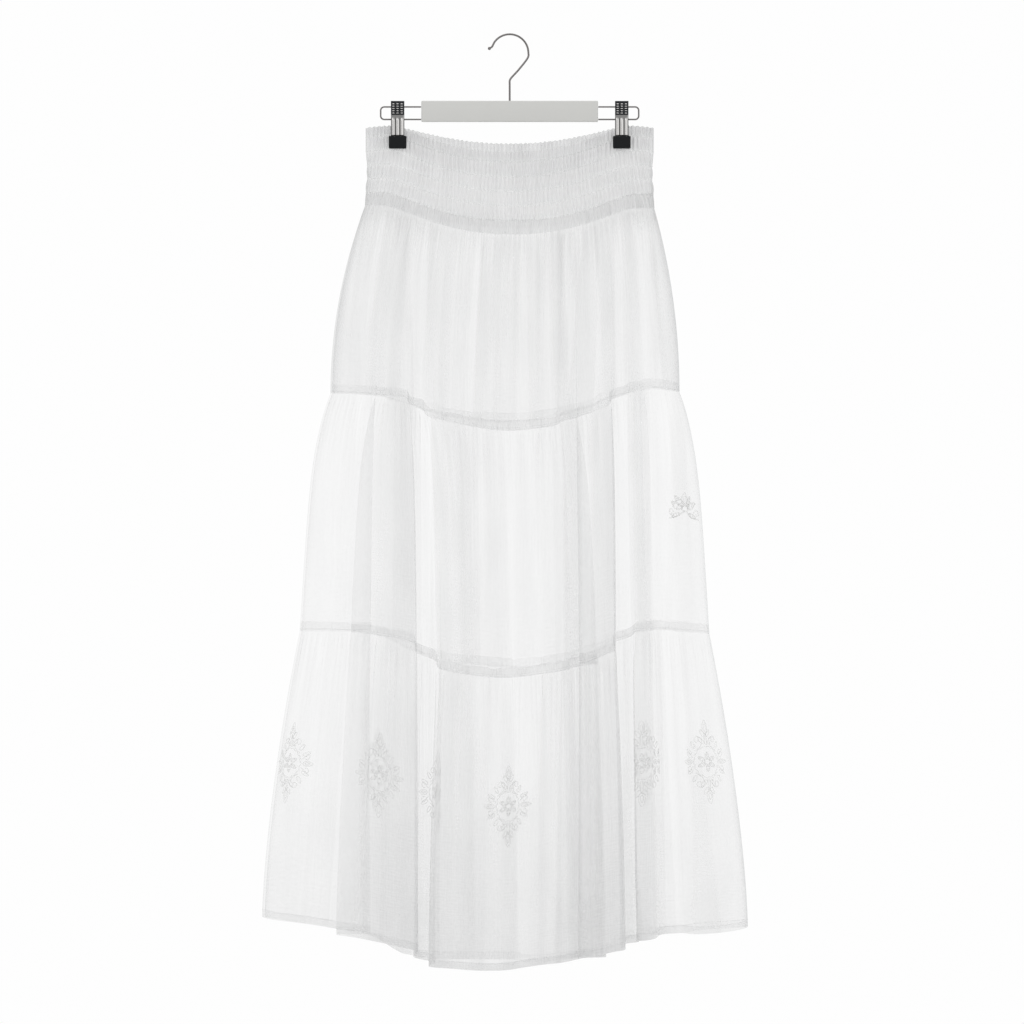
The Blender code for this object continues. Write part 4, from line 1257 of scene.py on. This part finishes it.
class SKIRT_OT_embroidery(bpy.types.Operator):
    """Makes the embroidered medallions round the third tier and the sprig on the second"""

    bl_idname = "skirt.embroidery"
    bl_label = "Embroidery"

    def execute(self, context):
        tiers = context.scene.skirt_tiers
        front, back = Tier(3, FRONT, tiers), Tier(3, BACK, tiers)
        for name, panel, place, share, bold in (
                ("left", front, 0.62, 0.455, 1.0), ("centre_left", front, 3.53, 0.455, 0.8),
                ("centre", front, 7.2, 0.44, 1.2), ("centre_right", front, 12.95, 0.43, 0.75),
                ("right", front, 15.2, 0.43, 1.0), ("back_left", back, 2.95, 0.44, 0.8),
                ("back_centre", back, 5.2, 0.45, 0.8), ("back_right", back, 11.95, 0.43, 0.8)):
            self.sew(f"medallion_{name}", panel, place, share, medallion(), tiers, bold)
        enlarged = [[1.3 * shape for shape in shapes] for shapes in sprig()]
        self.sew("sprig", Tier(2, FRONT, tiers), 15.12, 0.49, enlarged, tiers, 1.35)
        return {"FINISHED"}

    def sew(self, name, panel, place, share, design, tiers, bold):
        """Lays a design on a panel round a place along its folds."""
        closed, opened = design
        shapes = [*closed, *opened]
        for shape in closed[1:7]:
            shapes += filled(shape, SATIN_LINES)
        paths = []
        for shape in shapes:
            across, up = shape.T / 1000
            cloth = panel.cloth_at(place) - panel.facing * across / panel.length_at(share)
            paths.append(panel.surface(np.clip(cloth, 0.002, 0.998), share - up / panel.height,
                                       THREAD_LIFT))
        threads(name, paths, bold * tiers.embroidery_thread, embroidery_material(), sides=0,
                closed=range(len(closed)), slot="gauze")


def arc(centre, radius, start, end, steps):
    """Points (x, z) of an arc between two angles in degrees."""
    turn = np.radians(np.linspace(start, end, steps + 1))
    return np.stack([centre[0] + radius * np.cos(turn), centre[1] + radius * np.sin(turn)], axis=1)


def smooth_path(points, steps):
    """A path rounded through its points (Catmull-Rom)."""
    points = np.asarray(points, dtype=float)
    padded = np.vstack([2 * points[0] - points[1], points, 2 * points[-1] - points[-2]])
    placed = []
    for a, b, c, d in zip(padded, padded[1:], padded[2:], padded[3:]):
        for share in np.arange(steps) / steps:
            placed.append(0.5 * (2 * b + (c - a) * share + (2 * a - 5 * b + 4 * c - d) * share ** 2
                                 + (3 * b - 3 * c + d - a) * share ** 3))
    return np.vstack([placed, points[-1]])


def in_plane(path):
    """A path of (x, z) points in the middle plane."""
    return np.stack([path[:, 0], np.zeros(len(path)), path[:, 1]], axis=1)


class SKIRT_OT_bar(bpy.types.Operator):
    """Makes the painted bar"""

    bl_idname = "skirt.bar"
    bl_label = "Hanger Bar"

    def execute(self, context):
        paint = hard_finish("grey bar paint", context.scene.skirt_colours.bar, 0.035, 0.46,
                            1400.0, 0.12)
        rounded_block("bar_board", "hanger_bar", context.scene.skirt_hanger.bar_rounding, paint,
                      "bar")
        return {"FINISHED"}


class SKIRT_OT_wires(bpy.types.Operator):
    """Makes the hook and the wire loops on which the clips slide"""

    bl_idname = "skirt.wires"
    bl_label = "Hook and Wire Loops"

    def execute(self, context):
        sizes = context.scene.skirt_hanger
        crank = [(0.0, -0.0768), (0.0, -0.068), (0.0, -0.058), (0.0, -0.0535), (0.0016, -0.0503),
                 (0.0062, -0.0452), (0.0114, -0.0394)]
        bow = arc((0.0, sizes.hook_wire - sizes.hook_radius), sizes.hook_radius, -16.0, 160.0, 30)
        path = smooth_path(np.vstack([crank, bow[::3], [(-0.0229, -0.0149)]]), 6)
        threads("hook_wire", [in_plane(path)], sizes.hook_wire, wire_chrome(), sides=4,
                slot="chrome", replaces=("hook",))
        bm = bmesh.new()
        bmesh.ops.create_uvsphere(bm, u_segments=20, v_segments=12, radius=0.0019)
        bmesh.ops.translate(bm, vec=(-0.0238, 0.0, -0.0155), verts=bm.verts[:])
        finished(built("hook_tip", bm), wire_chrome(), slot="chrome")
        for end, side in (("left", -1), ("right", 1)):
            threads(f"loop_wire_{end}", [in_plane(self.loop(side))], sizes.loop_wire, wire_chrome(),
                    sides=3, slot="chrome", replaces=(f"wire_loop_{end}",))
        return {"FINISHED"}

    def loop(self, side):
        """Path of a wire loop, out from the bar's end and back."""
        start, corner, radius, top = 0.1038, 0.1470, 0.0042, -0.0840
        upper = arc((corner, top - radius), radius, 90.0, 0.0, 8)
        lower = arc((corner, LOWER_WIRE_Z + radius), radius, 0.0, -90.0, 8)
        path = np.vstack([[(start, top)], upper, lower, [(start, LOWER_WIRE_Z)]])
        return path * (side, 1.0)


class SKIRT_OT_clips(bpy.types.Operator):
    """Makes the two sprung clips: fluted plates, knurled thumb grips, coil and rubber feet"""

    bl_idname = "skirt.clips"
    bl_label = "Clips"

    def execute(self, context):
        self.sizes = context.scene.skirt_hanger
        colours = context.scene.skirt_colours
        steel = hard_finish("spring steel wire", colours.steel, 0.08, 0.32, 1800.0, 0.05,
                            metallic=1.0)
        rubber = hard_finish("black rubber grip", colours.rubber, 0.25, 0.62, 1700.0, 0.25,
                             specular=0.12)
        cap = hard_finish("dark knurled grip", (0.020, 0.022, 0.025), 0.25, 0.42, 1500.0, 0.15,
                          specular=0.2)
        for end, x in (("left", -CLIP_X), ("right", CLIP_X)):
            self.coil(f"clip_{end}_coil", x, steel, f"clip_{end}_spring")
            for side, facing in SIDES:
                self.plate(f"clip_{end}_plate_{side}", x, facing, f"clip_{end}_jaw_{side}")
                self.grip(f"clip_{end}_grip_{side}", x, facing, cap)
                self.bumps(f"clip_{end}_grip_{side}_bumps", x, facing)
                rounded_block(f"clip_{end}_pad_{side}", f"clip_{end}_foot_{side}",
                              self.sizes.foot_rounding, rubber, "rubber")
        return {"FINISHED"}

    def coil(self, name, x, steel, node):
        """The coil spring round the lower wire."""
        turns, half_length, radius = 7, 0.0044, 0.0031
        turn = np.linspace(0.0, 2 * np.pi * turns, turns * 16 + 1)
        path = np.stack([x + np.linspace(-half_length, half_length, len(turn)),
                         radius * np.cos(turn), LOWER_WIRE_Z + radius * np.sin(turn)], axis=1)
        threads(name, [path], 0.0006, steel, sides=2, slot="spring_steel", replaces=(node,))

    def profile(self, down):
        """Distance from the middle plane and height of a plate this far down it."""
        knots = (0.0, 0.384, 0.517, 1.0)
        return (np.interp(down, knots, (0.0098, 0.0049, 0.0043, 0.0043)),
                np.interp(down, knots, (-0.0778, -0.0932, LOWER_WIRE_Z, -0.1179)))

    def bent(self, bm, segments, place, wall):
        """Gives a bmesh a grid, puts each point in its place by (across, down), and adds a wall."""
        bmesh.ops.create_grid(bm, x_segments=segments[0], y_segments=segments[1], size=1.0)
        for vert in bm.verts:
            place(vert, vert.co.x, (1 - vert.co.y) / 2)
        bmesh.ops.recalc_face_normals(bm, faces=bm.faces[:])
        bmesh.ops.solidify(bm, geom=bm.faces[:], thickness=wall)
        bmesh.ops.recalc_face_normals(bm, faces=bm.faces[:])

    def plate(self, name, x, facing, node):
        """A sprung plate, fluted where it grips and flat under the thumb."""
        bm = bmesh.new()
        hollow = bm.verts.layers.float.new("hollow")

        def place(vert, across, down):
            out, height = self.profile(down)
            groove = 0.5 - 0.5 * math.cos(3 * math.pi * (across + 1))
            fluted = float(ease((down - 0.45) / 0.08))
            rolled_edge = 0.0008 * abs(across) ** 8
            # painted reflection: dark in the valleys between the flutes, and 0.6 of that dark on
            # the flat upper part
            vert[hollow] = max(0.0, 1.0 - 1.25 * groove) ** 2 * fluted + 0.6 * (1 - fluted)
            out += PLATE_OFF - rolled_edge + fluted * self.sizes.flute * groove
            vert.co = (x - across * self.sizes.plate_half_width * facing, facing * out, height)

        self.bent(bm, (36, 30), place, PLATE_WALL)
        finished(built(name, bm), plate_chrome(), slot="chrome", replaces=(node,))

    def grip(self, name, x, facing, material):
        """The dark cap on the thumb plate."""
        def place(vert, across, down):
            out, height = self.profile(CAP_SHARE * down)
            vert.co = (x - across * self.sizes.plate_half_width * facing,
                       facing * (out + CAP_OFF), height + 0.0002)

        bm = bmesh.new()
        self.bent(bm, (8, 10), place, -CAP_WALL)
        finished(built(name, bm), material, slot="chrome")

    def bumps(self, name, x, facing):
        """The rows of bright bumps that stand through the cap."""
        columns, rows, first, pitch, off = (-0.0048, 0.0, 0.0048), 5, 0.075, 0.066, 0.0019
        bm = bmesh.new()
        for column in columns:
            for row in range(rows):
                out, height = self.profile(first + pitch * row)
                bump = bmesh.ops.create_uvsphere(bm, u_segments=12, v_segments=8,
                                                 radius=self.sizes.knurl)["verts"]
                bmesh.ops.scale(bm, vec=(1.5, 0.8, 0.62), verts=bump)
                bmesh.ops.translate(bm, vec=(x + column, facing * (out + off), height), verts=bump)
        finished(built(name, bm), plate_chrome(), slot="chrome")


class SKIRT_OT_stage(bpy.types.Operator):
    """Sets the floor, the lights, the white surroundings and the camera"""

    bl_idname = "skirt.stage"
    bl_label = "Stage"

    def execute(self, context):
        scene = context.scene
        bm = bmesh.new()
        bmesh.ops.create_circle(bm, cap_ends=True, segments=96, radius=1.75)
        bmesh.ops.translate(bm, vec=(0.0, 0.0, FLOOR_Z), verts=bm.verts[:])
        floor = self.placed("floor", built("floor", bm))
        floor.data.materials.append(hard_finish("pale floor", (0.86, 0.86, 0.86), 0.01, 0.9, 60.0,
                                                0.0))
        self.surroundings(scene)
        for name, place, aim_z, power, width in (("key", (-1.6, -3.2, 1.3), -0.5, 18.0, 2.4),
                                                 ("fill", (2.4, -2.6, 0.2), -0.6, 9.0, 2.4),
                                                 ("rear", (0.4, 3.2, 0.4), -0.6, 15.0, 3.0),
                                                 ("above", (0.0, -0.3, 2.2), -0.6, 10.0, 2.0)):
            light = bpy.data.lights.new(name, "AREA")
            light.energy, light.size = power, width
            towards = Vector((0.0, 0.0, aim_z)) - Vector(place)
            self.placed(name, light, place, towards.to_track_quat("-Z", "Y").to_euler())
        camera = bpy.data.cameras.new("camera")
        camera.lens, camera.sensor_width, camera.clip_end = 360.0, 36.0, 100.0
        scene.camera = self.placed("camera", camera, (0.0027, -12.0, -0.5587),
                                   (math.pi / 2, 0.0, 0.0))
        scene.view_settings.view_transform = "Standard"
        # seen from the side, a ray meets about twenty layers of gauze
        scene.cycles.transparent_max_bounces = 24
        return {"FINISHED"}

    def placed(self, name, data, place=(0.0, 0.0, 0.0), turn=(0.0, 0.0, 0.0)):
        """Adds an object of the stage, in its place and turned."""
        thing = bpy.data.objects.new(name, data)
        thing.location, thing.rotation_euler = place, turn
        bpy.context.scene.collection.objects.link(thing)
        return thing

    def surroundings(self, scene):
        """White all round for the camera, and a dimmer soft light for the cloth."""
        world = scene.world or bpy.data.worlds.new("studio")
        scene.world = world
        world.use_nodes = True
        tree = world.node_tree
        tree.nodes.clear()
        glows = [new_node(tree, "Background", {"Color": (1.0, 1.0, 1.0, 1.0), "Strength": strength})
                 for strength in (0.76, 0.99)]
        rays = new_node(tree, "LightPath").outputs["Is Camera Ray"]
        mix = new_node(tree, "MixShader", {0: rays, 1: glows[0].outputs[0],
                                           2: glows[1].outputs[0]})
        new_node(tree, "OutputWorld", {"Surface": mix.outputs[0]})


class SKIRT_PT_sidebar(bpy.types.Panel):
    """Lists the makers of the skirt's pieces"""

    bl_label = "Tiered Ruffle Skirt"
    bl_idname = "SKIRT_PT_sidebar"
    bl_space_type = "VIEW_3D"
    bl_region_type = "UI"
    bl_category = "Skirt"

    def draw(self, context):
        for operator in OPERATORS:
            self.layout.operator(operator.bl_idname)
        for group in ("skirt_yoke", "skirt_tiers", "skirt_hanger", "skirt_colours"):
            settings = getattr(context.scene, group)
            box = self.layout.box()
            for name in settings.__annotations__:
                box.prop(settings, name)


GROUPS = (("skirt_yoke", SkirtYokeSizes), ("skirt_tiers", SkirtTierSizes),
          ("skirt_hanger", SkirtHangerSizes), ("skirt_colours", SkirtColours))
OPERATORS = (SKIRT_OT_stage, SKIRT_OT_bar, SKIRT_OT_wires, SKIRT_OT_clips, SKIRT_OT_yoke,
             SKIRT_OT_tier, SKIRT_OT_allowances, SKIRT_OT_hem, SKIRT_OT_stitching,
             SKIRT_OT_embroidery)


def register():
    for name, group in GROUPS:
        bpy.utils.register_class(group)
        setattr(bpy.types.Scene, name, PointerProperty(type=group))
    for operator in OPERATORS:
        bpy.utils.register_class(operator)
    bpy.utils.register_class(SKIRT_PT_sidebar)


def unregister():
    bpy.utils.unregister_class(SKIRT_PT_sidebar)
    for operator in reversed(OPERATORS):
        bpy.utils.unregister_class(operator)
    for name, group in reversed(GROUPS):
        delattr(bpy.types.Scene, name)
        bpy.utils.unregister_class(group)


def main():
    register()
    bpy.ops.skirt.stage()
    bpy.ops.skirt.bar()
    bpy.ops.skirt.wires()
    bpy.ops.skirt.clips()
    bpy.ops.skirt.allowances()
    bpy.ops.skirt.hem()
    bpy.ops.skirt.stitching()
    bpy.ops.skirt.yoke()
    for number in (1, 2, 3):
        bpy.ops.skirt.tier(number=number)
    bpy.ops.skirt.embroidery()
    bpy.context.view_layer.update()


if __name__ == "__main__":
    main()
